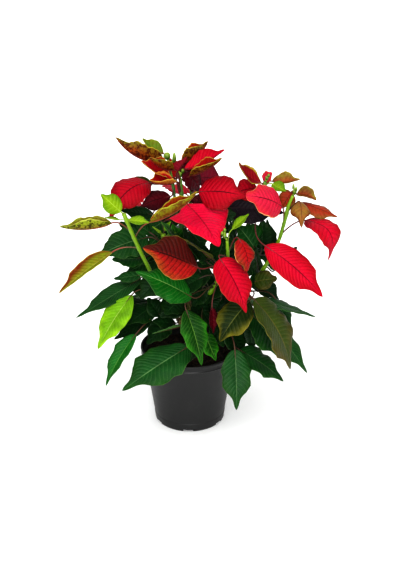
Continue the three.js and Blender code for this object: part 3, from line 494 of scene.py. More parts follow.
def leaf_look(name: str, body: int, outer: int, vein: int, back: int, veined: float = 0.5,
              margin: int = 0x486824, stalk: Stalk = LEAF_STALK) -> Look:
    """Makes a green leaf's look from its few colours.

    Args:
        name: The upper skin's name.
        body: Its main colour.
        outer: Its colour towards the margin and the tip.
        vein: The veins' colour on both sides.
        back: The lower skin's colour.
        veined: How strongly the veins show.
        margin: The upper margin's colour.
        stalk: The petiole's finish.

    Returns:
        The look.
    """
    upper = Skin(name, body, body, outer, vein, veined, margin=margin, edged=0.02, reach=0.3, relief=0.45,
                 roughness=0.42, gloss=0.2, mottling_and_shade=1.1)
    lower = Skin(name + "_back", back, back, back, vein, veined * 0.8, roughness=0.6, relief=0.4, mottling_and_shade=0.6)
    return Look(upper, lower, stalk)


class Tone(Enum):
    """The tones that the plant's blades come in, among them darker and lighter copies of a colour that are
    painted shade and painted light.
    """

    CRIMSON = Look(Skin("crimson", 0xA80324, 0xB0052A, 0x98041C, 0x3A020E, 0.62, margin=0x8C3226, edged=0.03,
                        roughness=0.46))
    # Painted shade: a darker copy of the crimson, for bracts that catch less light than the others.
    SHADED_CRIMSON = Look(Skin("shaded_crimson", 0x96011C, 0xA00322, 0x800414, 0x32010C, 0.62, margin=0x8C3226, edged=0.03,
                     roughness=0.46, relief=0.9, mottling_and_shade=0.5))
    POPPY = Look(Skin("poppy", 0xAC0324, 0xB6062E, 0x9A041A, 0x480212, 0.6, margin=0xAA543C, edged=0.035,
                      roughness=0.46, relief=0.9, mottling_and_shade=0.45))
    # Painted light: a lighter crimson, for the big kite bract whose top catches the light.
    LIT_CRIMSON = Look(Skin("lit_crimson", 0xC40C3C, 0xBE0A38, 0xBE0830, 0x840822, 0.5, margin=0xC46454, edged=0.03,
                        roughness=0.46, relief=0.9, mottling_and_shade=0.6))
    CREAM_EDGED = Look(Skin("cream_edged", 0xBC2240, 0xC22644, 0xBA2C36, 0x420410, 0.55, margin=0xD6A46E,
                            edged=0.08, relief=0.9, mottling_and_shade=0.5))
    EMBER_RED = Look(Skin("ember_red", 0x8E1814, 0x9A1218, 0x823416, 0x2E0808, 1.3, margin=0xCE9C62,
                          edged=0.08))
    CUPPED = Look(
        Skin("cupped", 0x960818, 0xA00C1C, 0xA02618, 0x42040C, 0.5, margin=0xB07A32, edged=0.26),
        Skin("cupped_back", 0x9E6022, 0xA03A1E, 0xA4762C, 0x602212, 0.6, 0x782816, 0.5, 0xB09642, 0.1, 0.5))
    # Painted shade: a dark red for red bracts and blades, and their undersides, where they sit in shadow.
    SHADED_RED = Look(
        Skin("shaded_red", 0x460412, 0x540616, 0x360610, 0x1E030A, 0.5),
        Skin("shaded_red_back", 0x4C0E1C, 0x541220, 0x3E0C18, 0x64282E, 0.3, roughness=0.6))
    ROSE = Look(Skin("rose", 0x6A1026, 0x76162C, 0x560C1E, 0x3A0816, 0.4), ROSE_BACK)
    BRONZE = Look(
        Skin("bronze", 0x960E14, 0xA01416, 0x922C16, 0x48060A, 0.5, margin=0xAC8030, edged=0.1),
        Skin("bronze_back", 0x765812, 0x8C3C16, 0x645E12, 0x461A08, 0.7, 0x421608, 0.95, 0xAA9A38, 0.08,
             0.45))
    GOLDEN = Look(
        Skin("golden", 0x982212, 0xA01C12, 0x965618, 0x3C0E08, 0.8, margin=0xA0962E, edged=0.1),
        Skin("golden_back", 0x7A7618, 0x88521E, 0x80881E, 0x54420E, 0.6, 0x602A10, 0.85, 0xA6A63C, 0.08,
             0.45), PINK_STALK)
    DUSKY = Look(
        Skin("dusky", 0x7A0816, 0x820A18, 0x741A14, 0x36040A, 0.5, margin=0xA49632, edged=0.24),
        Skin("dusky_back", 0x761018, 0x801E1A, 0x743618, 0x3C080C, 0.5, margin=0xA09236, edged=0.2,
             roughness=0.5))
    # Its right half is darkened by a painted shade.
    EMBER = Look(
        Skin("ember", 0xA01C1A, 0x46100A, 0x944C18, 0x140604, 1.5, 0x3C160E, 0.25, 0x8A783A, 0.04, 0.42, 0.12,
             shaded_half_colour=0x3A0A06, shaded_half_amount=0.9), TAN_BACK)
    BROWN = Look(
        Skin("brown", 0x803218, 0x8C2C18, 0x704A1C, 0x40160A, 0.55, 0x543814, 0.4, 0x8C7432, 0.05), TAN_BACK)
    TAN = Look(
        Skin("tan", 0x8E682E, 0x865428, 0x681E18, 0x583014, 0.6, 0x726028, 0.5, 0x9C8246, 0.05, reach=0.3),
        TAN_BACK)
    CURLED = Look(
        Skin("curled", 0x706420, 0x843E1A, 0x7A7226, 0x422810, 0.5, 0x602C14, 0.55, 0x9A883C, 0.06), TAN_BACK)
    LEAFY = Look(
        Skin("leafy", 0x56701A, 0x60761E, 0x707822, 0x465016, 0.4, 0x683C18, 0.3, 0x968C3A, 0.06),
        Skin("leafy_back", 0x5C7822, 0x686E22, 0x608024, 0x4C541A, 0.4, 0x6C3E1C, 0.3, 0x968C3A, 0.06, 0.5))
    ROLLED_OLIVE = Look(
        Skin("rolled_olive", 0x7C7628, 0x865E26, 0x888E32, 0x544A1A, 0.4, 0x683E1A, 0.4),
        Skin("rolled_olive_back", 0x808822, 0x8C6E28, 0x808C24, 0x3E3C0E, 0.7, 0x302A08, 0.9, 0xA6A84E, 0.1,
             0.5, 0.4), PINK_STALK)
    FOLDED = Look(FOLDED_SKIN, replace(FOLDED_SKIN, name="folded_back"), PINK_STALK)
    LIME = Look(
        Skin("lime", 0x5A7602, 0x6C8608, 0x4C6C02, 0x92AA42, 0.4),
        Skin("lime_back", 0x7C9628, 0x849E36, 0x708E22, 0x94AA54, 0.4, roughness=0.55), LIME_STALK)
    OLIVE = leaf_look("olive", 0x2C3A0E, 0x3E3812, 0x625C2C, 0x505224, 0.34, 0x82743A)
    DUSK = leaf_look("dusk_leaf", 0x182A08, 0x5C5814, 0x6C6E38, 0x52542E, 0.3, 0x967C36)
    # A light yellow-green: partly the young leaves' own colour, partly painted light where a leaf glows with
    # light shining through it from behind.
    BRIGHT = leaf_look("bright_leaf", 0x629008, 0x7EA610, 0x96B054, 0x607E3A, 0.4)
    LIVELY = leaf_look("lively_leaf", 0x063A04, 0x22620A, 0x709646, 0x567636, 0.34)
    FRESH = leaf_look("fresh_leaf", 0x025410, 0x0A440C, 0x7C9C5A, 0x466A38, 0.3)
    GREEN = leaf_look("green_leaf", 0x0C3C12, 0x143C0C, 0x648254, 0x3C5A34, 0.26)
    # Painted shade: a darker copy of the green, for the leaves inside the plant that sit in shadow.
    SHADED_GREEN = leaf_look("shaded_green_leaf", 0x0A2A0C, 0x102C08, 0x304E2C, 0x263E24, 0.25, stalk=SHADED_STALK)
    # Painted shade: a near-black colour for a blade that sits in deep shadow.
    SHADOW_BLACK = leaf_look("shadow_black_leaf", 0x180F16, 0x140E12, 0x2C1E24, 0x2C2026, 0.3, 0x2C1E1E)
    PALE = leaf_look("pale_leaf", 0x3E6432, 0x3A5C2E, 0x6A8454, 0x4A6C3C)


# ---------------------------------------------------------------- meshes


def hold(name: str, mesh: bmesh.types.BMesh) -> bpy.types.Mesh:
    """Turns a worked mesh into mesh data, and frees it.

    Args:
        name: The name of the data.
        mesh: The worked mesh.

    Returns:
        The data.
    """
    data = bpy.data.meshes.new(name)
    mesh.to_mesh(data)
    mesh.free()
    return data


def stand(name: str, data: bpy.types.ID) -> bpy.types.Object:
    """Adds an object with the data to the scene.

    Args:
        name: Its name.
        data: Its mesh, light or camera.

    Returns:
        The object.
    """
    thing = bpy.data.objects.new(name, data)
    bpy.context.scene.collection.objects.link(thing)
    return thing


def unit(vectors: np.ndarray) -> np.ndarray:
    """Scales vectors to a length of 1."""
    return vectors / np.linalg.norm(vectors, axis=-1, keepdims=True)


def ramp(x: np.ndarray, low: float, high: float) -> np.ndarray:
    """Rises smoothly from 0 at low to 1 at high."""
    t = np.clip((x - low) / (high - low), 0, 1)
    return t * t * (3 - 2 * t)


class Piece:
    """One visible piece: a mesh that grows part by part, with its materials."""

    def __init__(self, name: str) -> None:
        """Starts with an empty mesh."""
        self.name, self.mesh = name, self.part()
        self.finishes: list[Finish] = []

    def slot(self, finish: Finish) -> int:
        """The number of a finish's material slot.

        Args:
            finish: The finish.

        Returns:
            The number, of a new slot the first time.
        """
        if finish not in self.finishes:
            self.finishes.append(finish)
        return self.finishes.index(finish)

    def part(self) -> bmesh.types.BMesh:
        """Starts a mesh with the layers that the materials read.

        Returns:
            The empty mesh.
        """
        part = bmesh.new()
        part.loops.layers.uv.new("UVMap")
        part.verts.layers.float.new("shade")
        part.verts.layers.float.new("veins")
        return part

    def take(self, part: bmesh.types.BMesh, finish: Finish | None = None, shade: float = 1.0,
             veins: float = 8.0) -> None:
        """Adds a finished part to the piece, and frees it.

        Args:
            part: The part.
            finish: The finish of all its faces; without one they keep the slots that they have.
            shade: How light its colours are.
            veins: How many side veins it has on each side.
        """
        layers = part.verts.layers.float
        for vert in part.verts:
            vert[layers["shade"]] = shade
            vert[layers["veins"]] = veins
        slot = self.slot(finish) if finish else None
        for face in part.faces:
            face.smooth = True
            face.material_index = face.material_index if slot is None else slot
        held = hold("part", part)
        self.mesh.from_mesh(held)
        bpy.data.meshes.remove(held)

    def grid(self, columns: int, rows: int, surface: Callable[[np.ndarray, np.ndarray], np.ndarray]
             ) -> bmesh.types.BMesh:
        """Lays a grid over a surface and welds it where its corners meet.

        Args:
            columns: Faces across.
            rows: Faces along.
            surface: Gives the places, in millimetres, for numbers across and along of 0 to 1.

        Returns:
            The part, with its UV map set to the same numbers.
        """
        part = self.part()
        bmesh.ops.create_grid(part, x_segments=columns, y_segments=rows, size=1.0, calc_uvs=True)
        across, along = (np.array([v.co[k] for v in part.verts]) * 0.5 + 0.5 for k in (0, 1))
        shape = (rows + 1, columns + 1)
        places = surface(across.reshape(shape), along.reshape(shape)).reshape(-1, 3) * MM
        uv = part.loops.layers.uv["UVMap"]
        for face in part.faces:
            for loop in face.loops:
                at = loop.vert.index
                loop[uv].uv = (across[at], along[at])
        for vert, place in zip(part.verts, places):
            vert.co = place
        bmesh.ops.remove_doubles(part, verts=part.verts[:], dist=WELD)
        return part

    def tube(self, path: np.ndarray, radii: np.ndarray, finish: Finish, sides: int = 8, shade: float = 1.0
             ) -> None:
        """Adds a round bar along a path, closed at both ends.

        Args:
            path: Points along the middle, in millimetres.
            radii: The radius at each point.
            finish: The material's finish.
            sides: Faces around it.
            shade: How light its colour is.
        """
        side = np.array([0.31, 0.84, 0.45])  # any direction off the path starts the turning frame
        frames = []
        for tangent in unit(np.gradient(path, axis=0)):
            side = unit(side - tangent * side.dot(tangent))
            frames.append((side, np.cross(tangent, side)))
        first, second = (np.array([f[k] for f in frames])[:, None, :] for k in (0, 1))

        def surface(across: np.ndarray, along: np.ndarray) -> np.ndarray:
            """The bar's places."""
            turn = (across * 2 * math.pi)[:, :, None]
            return path[:, None, :] + (first * np.cos(turn) + second * np.sin(turn)) * radii[:, None, None]

        part = self.grid(sides, len(path) - 1, surface)
        bmesh.ops.holes_fill(part, edges=[e for e in part.edges if e.is_boundary], sides=sides)
        bmesh.ops.recalc_face_normals(part, faces=part.faces[:])
        self.take(part, finish, shade)

    def finish(self, nodes: Iterable[str], slot: str) -> None:
        """Makes the object, which rides on the root and stands for its CAD nodes.

        Args:
            nodes: The nodes that it replaces.
            slot: A slot's name; not used.
        """
        piece = stand(self.name, hold(self.name, self.mesh))
        for finish in self.finishes:
            piece.data.materials.append(finish.make())
        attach(piece, "root")
        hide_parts(*nodes)
        log.info("%s: %d faces", self.name, len(piece.data.polygons))


class Axis:
    """The middle line of a stem: a smooth curve through its points, measured by length."""

    STEPS = 40  # between two points

    def __init__(self, points: list[Point]) -> None:
        """Samples the curve, a centripetal spline, finely.

        Args:
            points: The points that it goes through.
        """
        p = [np.array(q, float) for q in points]
        p = [2 * p[0] - p[1], *p, 2 * p[-1] - p[-2]]
        t = np.linspace(0, 1, self.STEPS + 1)[:-1, None]
        samples = []
        for a, b, c, d in zip(p, p[1:], p[2:], p[3:]):
            k0, k1, k2 = (max(np.linalg.norm(y - x), 1e-4) ** 0.5 for x, y in ((a, b), (b, c), (c, d)))
            m1 = ((b - a) / k0 - (c - a) / (k0 + k1) + (c - b) / k1) * k1
            m2 = ((c - b) / k1 - (d - b) / (k1 + k2) + (d - c) / k2) * k1
            curve = b + m1 * t + (3 * (c - b) - 2 * m1 - m2) * t ** 2
            samples.append(curve + (2 * (b - c) + m1 + m2) * t ** 3)
        self.samples = np.vstack([*samples, p[-2][None]])
        steps = np.linalg.norm(np.diff(self.samples, axis=0), axis=1)
        self.lengths = np.concatenate([[0], np.cumsum(steps)])
        self.length = float(self.lengths[-1])

    def at(self, part: float | np.ndarray) -> np.ndarray:
        """The point or points at a part of the length, 0 to 1."""
        wanted = np.asarray(part) * self.length
        return np.stack([np.interp(wanted, self.lengths, self.samples[:, k]) for k in range(3)], axis=-1)


# ---------------------------------------------------------------- blades and shoots


@dataclass(frozen=True)
class Outline:
    """How a blade's half width grows and closes along its midrib."""

    rise: float
    fall: float
    lobes: tuple[float, ...] = ()
    lobe: float = 0.0
    after: float = 0.09  # how far a lobe runs on towards the tip

    BEFORE = 0.15  # how far it starts before its point

    def width(self, t: np.ndarray) -> np.ndarray:
        """Half width along the midrib.

        Args:
            t: Places along it, 0 at the base to 1 at the tip.

        Returns:
            The half width there, as a part of the greatest.
        """
        peak = self.rise / (self.rise + self.fall)
        shape = t ** self.rise * np.clip(1 - t, 0, 1) ** self.fall
        full = shape / (peak ** self.rise * (1 - peak) ** self.fall)
        bumps = np.zeros_like(t)
        for place in self.lobes:
            reach = np.where(t < place, self.BEFORE, self.after)
            bumps = np.maximum(bumps, np.clip(1 - np.abs(t - place) / reach, 0, 1))
        return full * (1 - self.lobe) + self.lobe * bumps ** 1.15


class Form(Enum):
    """The outlines that the plant's blades have."""

    OVATE = Outline(0.75, 0.95)
    TAPERED = Outline(0.6, 1.0)
    ROUNDED = Outline(0.5, 0.6)
    BLUNT = Outline(0.6, 0.75)
    LOBED = Outline(0.6, 0.95, (0.34, 0.6), 0.13)
    KITE = Outline(0.8, 0.9, (0.3,), 0.42, 0.34)


@dataclass(frozen=True)
class Blade:
    """One leaf or bract with its petiole, laid out as the solid one is.

    at is where its petiole leaves the axis, and on is which side stem that is, if any. face turns the
    upper side to the front, and fold and curl raise the halves and their margins, all in degrees. arch
    lifts the midrib and lean sets the right half forward, as parts of the length; wave ripples the
    margins, as a part of the width.
    """

    form: Form
    at: float
    base: Point
    tip: Point
    width: float
    tone: Tone
    face: float = 0
    arch: float = 0
    fold: float = 12
    curl: float = -20
    wave: float = 0.05
    lean: float = 0
    on: int = 0

    THICKNESS = 0.5
    CELL = (4.2, 1.5)  # the width for one face across a half, and the length for one face along
    COLUMNS = (5, 12)  # fewest and most faces across a half
    ROWS = (12, 60)  # and along
    VEIN_GAP = 5.6
    DRIP = 0.42  # how far the sides draw in before the tip
    DRIP_SPAN = (0.7, 0.3)  # where that starts, and over how much of the length
    FRILL = 0.016  # height of the margin's small waves, as a part of the width
    QUILT = 0.006  # height of the fields between the side veins, as a part of the width
    GROOVE = (0.5, 1.3)  # depth and width of the groove over the midrib
    SHADE = 0.12  # how far one blade is lighter or darker than another
    SPIKE = 2.3  # a corner further than this from its neighbours was thrown out by the thickening
    RISE = 0.35  # how steeply the petiole leaves its stem
    HANDLES = (0.4, 0.35)  # how far it holds its first and last direction, as parts of its length
    STALK = ((0, 0.12, 1), (1.6, 0.95, 0.9))  # its radius along it
    MIDRIB = 0.85  # the midrib's radius at the base
    MIDRIB_END = (0.93, 0.12)  # where it ends, and what it thins to
    UNDER = (0.3, 0.95)  # how far below the blade it runs: at the base, and so much more further on
    RINGS = (13, 18)  # rings of corners along the petiole and along the midrib
    SLENDER = (26, 0.25)  # a blade narrower than about the first has a thinner petiole

    @property
    def length(self) -> float:
        """Length from base to tip."""
        return float(np.linalg.norm(np.array(self.tip, float) - np.array(self.base, float)))

    @property
    def normal(self) -> np.ndarray:
        """The direction that the upper side faces."""
        along = unit(np.array(self.tip, float) - np.array(self.base, float))
        upright = unit(UP - along * along[2])
        across = np.cross(along, upright)
        front = across if across.dot(FRONT_LEFT) >= 0 else -across
        turn = math.radians(self.face)
        return upright * math.cos(turn) + front * math.sin(turn)

    @property
    def laterals(self) -> float:
        """How many side veins leave the midrib on each side."""
        return max(6.0, round(self.length / self.VEIN_GAP))

    def midrib(self, t: np.ndarray) -> tuple[np.ndarray, np.ndarray]:
        """Lays the midrib's curve.

        Args:
            t: Places along it, 0 to 1.

        Returns:
            The points there and the directions in which it runs.
        """
        base, tip = np.array(self.base, float), np.array(self.tip, float)
        middle = (base + tip) / 2 + self.normal * 2 * self.arch * self.length
        t = t[..., None]
        points = base * (1 - t) ** 2 + middle * 2 * t * (1 - t) + tip * t ** 2
        return points, unit((middle - base) * (1 - t) + (tip - middle) * t)

    def plain(self, u: np.ndarray, t: np.ndarray) -> np.ndarray:
        """Lays the blade's middle surface.

        Args:
            u: Places across, -1 to 1.
            t: Places along, 0 to 1.

        Returns:
            The points there.
        """
        points, along = self.midrib(t)
        across = unit(np.cross(along, self.normal))
        normal = np.cross(across, along)
        side, half = np.sign(u), np.abs(u)
        full = self.form.value.width(t)
        start, span = self.DRIP_SPAN
        drawn = full * (1 - self.DRIP * np.sin(np.pi * np.clip((t - start) / span, 0, 1)))
        bend = math.radians(self.curl) * half
        angle = math.radians(self.fold) + bend / 2
        out = self.width / 2 * drawn * half * np.sinc(bend / 2 / np.pi)
        phase = math.sin(self.tip[0] + 2 * self.tip[2])  # sets the waves of one blade apart from another's
        ripple = self.wave * self.width * u ** 2 * np.sin(np.pi * (3 * t + phase + side / 2))
        ripple = ripple * np.sin(np.pi * np.sqrt(t))
        frill = self.FRILL * self.width * half ** 4 * np.sin(np.pi * (11 * t + 3 * phase + side)) * full
        points = points + across * (side * out * np.cos(angle))[..., None]
        points = points + normal * (out * np.sin(angle) + ripple + frill)[..., None]
        return points + along * (self.lean * self.length * u * full)[..., None]

    def surface(self, across: np.ndarray, along: np.ndarray) -> np.ndarray:
        """Lays the middle surface with its sunken veins and quilted fields.

        Args:
            across: Places across, 0 to 1.
            along: Places along, 0 to 1.

        Returns:
            The points there.
        """
        u = across * 2 - 1
        half = np.abs(u)
        places = self.plain(u, along)
        facing = np.cross(np.gradient(places, axis=1), np.gradient(places, axis=0))
        size = np.linalg.norm(facing, axis=-1, keepdims=True)
        facing = np.where(size > 1e-9, facing / np.maximum(size, 1e-9), self.normal)
        facing[0], facing[-1] = facing[1], facing[-2]
        sweep = self.laterals * (along - SWEEP * half ** 1.2) + 0.5 * (u > 0)
        field_height = np.abs(np.sin(np.pi * sweep)) ** 0.8 - 0.5
        fade = ramp(half, 0.02, 0.25) * (1 - ramp(half, 0.7, 1.0)) * (1 - ramp(along, 0.75, 0.97))
        from_rib = half * self.form.value.width(along) * self.width / 2
        deep, wide = self.GROOVE
        groove = deep * np.exp(-((from_rib / wide) ** 2)) * (1 - along) * ramp(along, 0.0, 0.1)
        return places + facing * (self.QUILT * self.width * field_height * fade - groove)[..., None]

    def build(self, piece: Piece, axis: Axis) -> None:
        """Adds the blade and its petiole to a piece.

        Args:
            piece: The piece.
            axis: The stem that the petiole leaves.
        """
        look: Look = self.tone.value
        shade = 1.0 + self.SHADE * math.sin(17.3 * self.tip[0] + 5.1 * self.tip[2] + self.width)
        (fewest, most), (shortest, longest) = self.COLUMNS, self.ROWS
        columns = 2 * round(min(max(self.width / self.CELL[0], fewest), most))
        rows = round(min(max(self.length / self.CELL[1], shortest), longest))
        part = piece.grid(columns, rows, self.surface)
        upper = set(part.faces)
        bmesh.ops.solidify(part, geom=part.faces[:], thickness=self.THICKNESS * MM)
        slots = [piece.slot(look.upper), piece.slot(look.lower)]
        for face in part.faces:
            face.material_index = slots[face not in upper]
        for vert in part.verts:
            if min(edge.calc_length() for edge in vert.link_edges) > self.SPIKE * MM:
                around = [edge.other_vert(vert).co for edge in vert.link_edges]
                vert.co = sum(around, Vector()) / len(around)
        piece.take(part, None, shade, self.laterals)
        path, radii = self.petiole(axis)
        piece.tube(path, radii, look.stalk, shade=shade)

    def petiole(self, axis: Axis) -> tuple[np.ndarray, np.ndarray]:
        """Lays the petiole, which runs on under the blade as its midrib.

        Args:
            axis: The stem that it leaves.

        Returns:
            The points along it and its radius at each.
        """
        start = axis.at(self.at)
        base = np.array(self.base, float)
        reach = float(np.linalg.norm(base - start))
        outward = unit(unit(base - start) + UP * self.RISE)
        _, along = self.midrib(np.array([0.0]))
        first, last = self.HANDLES
        after, before = start + outward * first * reach, base - along[0] * last * reach
        t = np.linspace(0, 1, self.RINGS[0])[:, None]
        stalk = start * (1 - t) ** 3 + after * 3 * t * (1 - t) ** 2
        stalk = stalk + before * 3 * t ** 2 * (1 - t) + base * t ** 3

        end, thinnest = self.MIDRIB_END
        ribs = np.linspace(0, end, self.RINGS[1])[1:]
        rib, rib_along = self.midrib(ribs)
        under = np.cross(unit(np.cross(rib_along, self.normal)), rib_along)
        near, more = self.UNDER
        rib = rib - under * (near + more * ramp(ribs[:, None], 0.0, 0.16)) * (1 - 0.4 * ribs[:, None])
        radii = [np.interp(t[:, 0], *self.STALK), self.MIDRIB * (1 - ribs) ** 0.8 + thinnest]
        full, least = self.SLENDER
        return np.vstack([stalk, rib]), np.concatenate(radii) * min(1.0, self.width / full + least)


@dataclass
class Shoot:
    """One shoot: a stem from the trunk, its side stems, and its blades."""

    name: str
    stem: Stalk
    axis: list[Point]
    leaves: list[Blade]
    bracts: list[Blade] = field(default_factory=list)
    forks: list[list[Point]] = field(default_factory=list)

    radius: float = 2.9
    tip_radius: float = 2.2
    woody: float = 0.16  # the part of the axis that belongs to the trunk
    flower_stem: float = 0.9  # where the flower stem starts at the latest
    fork_start: float = 0.55  # where it starts at the latest when it forks
    below: float = 0.02  # how far below its lowest bract it starts
    gap: float = 0.36  # between it and the green stem
    swell: tuple[float, float] = (0.42, 2.6)  # how far a stem swells at a joint, and over what length
    foot: float = 0.97  # radius of its first ring, as a part of the stem's there

    def __post_init__(self) -> None:
        """Lays the curves of the stems."""
        self.axes = [Axis(points) for points in [self.axis, *self.forks]]

    @property
    def bract_start(self) -> float:
        """Where the flower stem starts, below the lowest bract of the axis."""
        lowest = min((bract.at for bract in self.bracts if not bract.on), default=1.0)
        return min(self.flower_stem, lowest - self.below, self.fork_start if self.forks else 1.0)

    def _stem(self, piece: Piece, number: int, span: tuple[float, float], radii: tuple[float, float],
              finish: Stalk, blades: list[Blade]) -> None:
        """Adds a stretch of stem, which swells a little at each joint.

        Args:
            piece: The piece.
            number: The axis that it follows: 0 for the stem, then the side stems.
            span: Where it starts and ends along the axis.
            radii: Its radius there.
            finish: The material's finish.
            blades: The blades that may leave it.
        """
        axis = self.axes[number]
        high, wide = self.swell
        parts = np.linspace(*span, max(8, round((span[1] - span[0]) * axis.length / 3)))
        thick = np.interp(parts, span, radii)
        for joint in (blade.at for blade in blades if blade.on == number):
            thick = thick + high * np.exp(-(((parts - joint) * axis.length / wide) ** 2))
        thick[0] *= self.foot
        piece.tube(axis.at(parts), thick, finish, 12)

    def leafy(self) -> None:
        """Builds the green stem with its leaves."""
        piece = Piece(f"{self.name}_foliage")
        end = self.bract_start - self.gap / self.axes[0].length if self.bracts else 1.0
        self._stem(piece, 0, (self.woody, end), (self.radius, self.tip_radius * 1.05), self.stem, self.leaves)
        for leaf in self.leaves:
            leaf.build(piece, self.axes[leaf.on])
        piece.finish([f"{self.name}_leaves"], "leaf")

    def flowering(self) -> None:
        """Builds the flower stems with their bracts."""
        piece = Piece(f"{self.name}_flower_head")
        young = Stalk(self.stem.name + "_top", self.stem.body, self.stem.body, self.stem.end)
        thick, thin, thinnest = (self.tip_radius * part for part in (1, 0.9, 0.8))
        self._stem(piece, 0, (self.bract_start, 1), (thick, thin), young, self.bracts)
        for number in range(1, len(self.axes)):
            self._stem(piece, number, (0, 1), (thin, thinnest), young, self.bracts)
        for bract in self.bracts:
            bract.build(piece, self.axes[bract.on])
        piece.finish([f"{self.name}_bracts"], "bract")

    def build(self) -> None:
        """Builds the shoot's two pieces, the second where it has bracts."""
        self.leafy()
        if self.bracts:
            self.flowering()


@dataclass(frozen=True)
class Cyathia:
    """A few small green cups that crowd at the end of a stem: x, y, z, radius and stretch of each."""

    name: str
    shoot: Shoot
    number: int  # the stem: 0 for the shoot's own, then its side stems
    cups: list[tuple[float, float, float, float, float]]

    stalk: float = 1.25
    clearance: float = 0.6
    slender: float = 1.9  # a cup stretched further than this is a pointed bud
    lip: float = 0.62  # radius of the mouth, as a part of the cup's
    mouth_depth: float = 0.45
    brim: float = 0.94  # height of the lip over the middle
    lobes: int = 5
    lobe: float = 0.14  # how far they stand out

    def _cup(self, piece: Piece, centre: np.ndarray, radius: float, stretch: float) -> None:
        """Adds one cup: an egg with a small lobed mouth, or a closed pointed bud where it is slender.

        Args:
            piece: The piece.
            centre: The middle of the cup, in millimetres.
            radius: Its radius.
            stretch: Its height, as a part of its width.
        """
        def surface(across: np.ndarray, along: np.ndarray) -> np.ndarray:
            """The cup's places.

            Args:
                across: Places round it, 0 to 1.
                along: Places up it, 0 to 1.

            Returns:
                The points there.
            """
            turn = across * 2 * np.pi
            if stretch > self.slender:
                out, lift = np.sin(np.pi * along ** 0.72) ** 0.8, -np.cos(np.pi * along)
            else:
                climb = np.clip(along / 0.84, 0, 1)
                mouth = ramp(along, 0.86, 1.0)
                out = np.sin(np.pi * climb) ** 0.8
                out = np.where(along > 0.66, np.maximum(out, self.lip * (1 - mouth)), out)
                waves = self.lobe * np.cos(self.lobes * turn)
                out = out * (1 + waves * ramp(along, 0.6, 0.84) * (1 - ramp(along, 0.86, 0.95)))
                lift = np.minimum(-np.cos(np.pi * climb), self.brim) - self.mouth_depth * mouth
            cup = np.stack([out * np.cos(turn), out * np.sin(turn), lift * stretch], axis=-1)
            return centre + cup * radius

        part = piece.grid(20, 16, surface)
        bmesh.ops.recalc_face_normals(part, faces=part.faces[:])
        piece.take(part, CupFlesh())

    def build(self) -> None:
        """Builds the cups and the short stalks between them."""
        piece = Piece(f"{self.name}_cups")
        centres = [np.array(cup[:3], float) for cup in self.cups]
        samples = self.shoot.axes[self.number].samples
        foot = samples[-1] + unit(samples[-1] - samples[-4]) * self.clearance
        for target in [foot, *centres[1:]]:
            path = np.linspace(target, centres[0], 5)
            piece.tube(path, np.full(len(path), self.stalk), LIME_STALK)
        for centre, cup in zip(centres, self.cups):
            self._cup(piece, centre, cup[3], cup[4])
        piece.finish([f"{self.name}_cyathia"], "cyathia")


# A row has a blade's outline, where its petiole leaves the axis, its base and tip, its width and tone, how
# far it faces the front, and its other bends. The ends of the rows name some of the blades in plain view.
ovate, tapered, rounded, blunt, lobed, kite = (partial(Blade, form) for form in Form)

WEST = Shoot("west", LIME_STEM, [
    (0, 1, 118), (-20, -12, 160), (-40, -30, 205), (-49, -40, 232), (-63, -50, 269), (-78, -60, 314),
], [
    ovate(0.99, (-81, -62, 317), (-104, -66, 341), 24, Tone.LIME, 66, fold=5, curl=0),  # lime top
    blunt(0.96, (-83, -61, 307), (-100, -70, 313), 9, Tone.LIME, fold=20, curl=0),  # lime sliver
    blunt(0.95, (-72, -60, 306), (-47, -66, 305), 14, Tone.LIME, 30, fold=20, curl=0),  # lime right
    ovate(0.88, (-93, -60, 302), (-154, -75, 303), 32, Tone.ROLLED_OLIVE, arch=-0.08, fold=30, curl=70),
    ovate(0.76, (-94, -55, 262), (-158, -85, 220), 31, Tone.FOLDED, 34, arch=0.02, fold=52, curl=6),
    ovate(0.83, (-46, -62, 304), (11, -80, 349), 32, Tone.GOLDEN, 16, arch=-0.08, fold=30, curl=70),
    tapered(0.5, (-62, -12, 209), (-142, -60, 175), 31, Tone.GREEN, 14, fold=14),  # long
    ovate(0.42, (-72, -40, 198), (-114, -80, 141), 38, Tone.BRIGHT, 12, arch=0.06, curl=-25),  # bright
    ovate(0.36, (-44, -20, 176), (-78, -60, 166), 32, Tone.SHADED_GREEN, 25),
    ovate(0.3, (-48, -34, 162), (-95, -60, 145), 28, Tone.SHADED_GREEN, 20, fold=14),  # low
    lobed(0.26, (-67, -62, 153), (-105, -88, 93), 26, Tone.FRESH, 20, arch=0.08, fold=30, curl=-10),
    ovate(0.33, (-52, 8, 168), (-92, -8, 150), 34, Tone.SHADED_GREEN, 10, arch=0.08),
    blunt(0.24, (-25, -30, 160), (-54, -50, 133), 36, Tone.SHADED_GREEN, 10),
    blunt(0.28, (-14, -30, 186), (-30, -52, 176), 32, Tone.SHADED_GREEN, 20),
    blunt(0.5, (-28, -20, 218), (-62, -44, 194), 38, Tone.SHADED_GREEN, 20, arch=0.08),
    blunt(0.3, (-6, -30, 187), (-37, -46, 169), 34, Tone.SHADED_GREEN, 30),
    blunt(0.3, (-36, -40, 168), (-53, -34, 191), 24, Tone.SHADED_GREEN, 30),
    blunt(0.5, (-61, -16, 215), (-96, -22, 212), 18, Tone.GREEN, 30, fold=10),
    blunt(0.42, (-54, -18, 199), (-76, -22, 198), 24, Tone.SHADED_GREEN, 40, fold=10),
    blunt(0.26, (-17, -38, 157), (-47, -44, 163), 22, Tone.SHADED_GREEN, 30, fold=10),
])
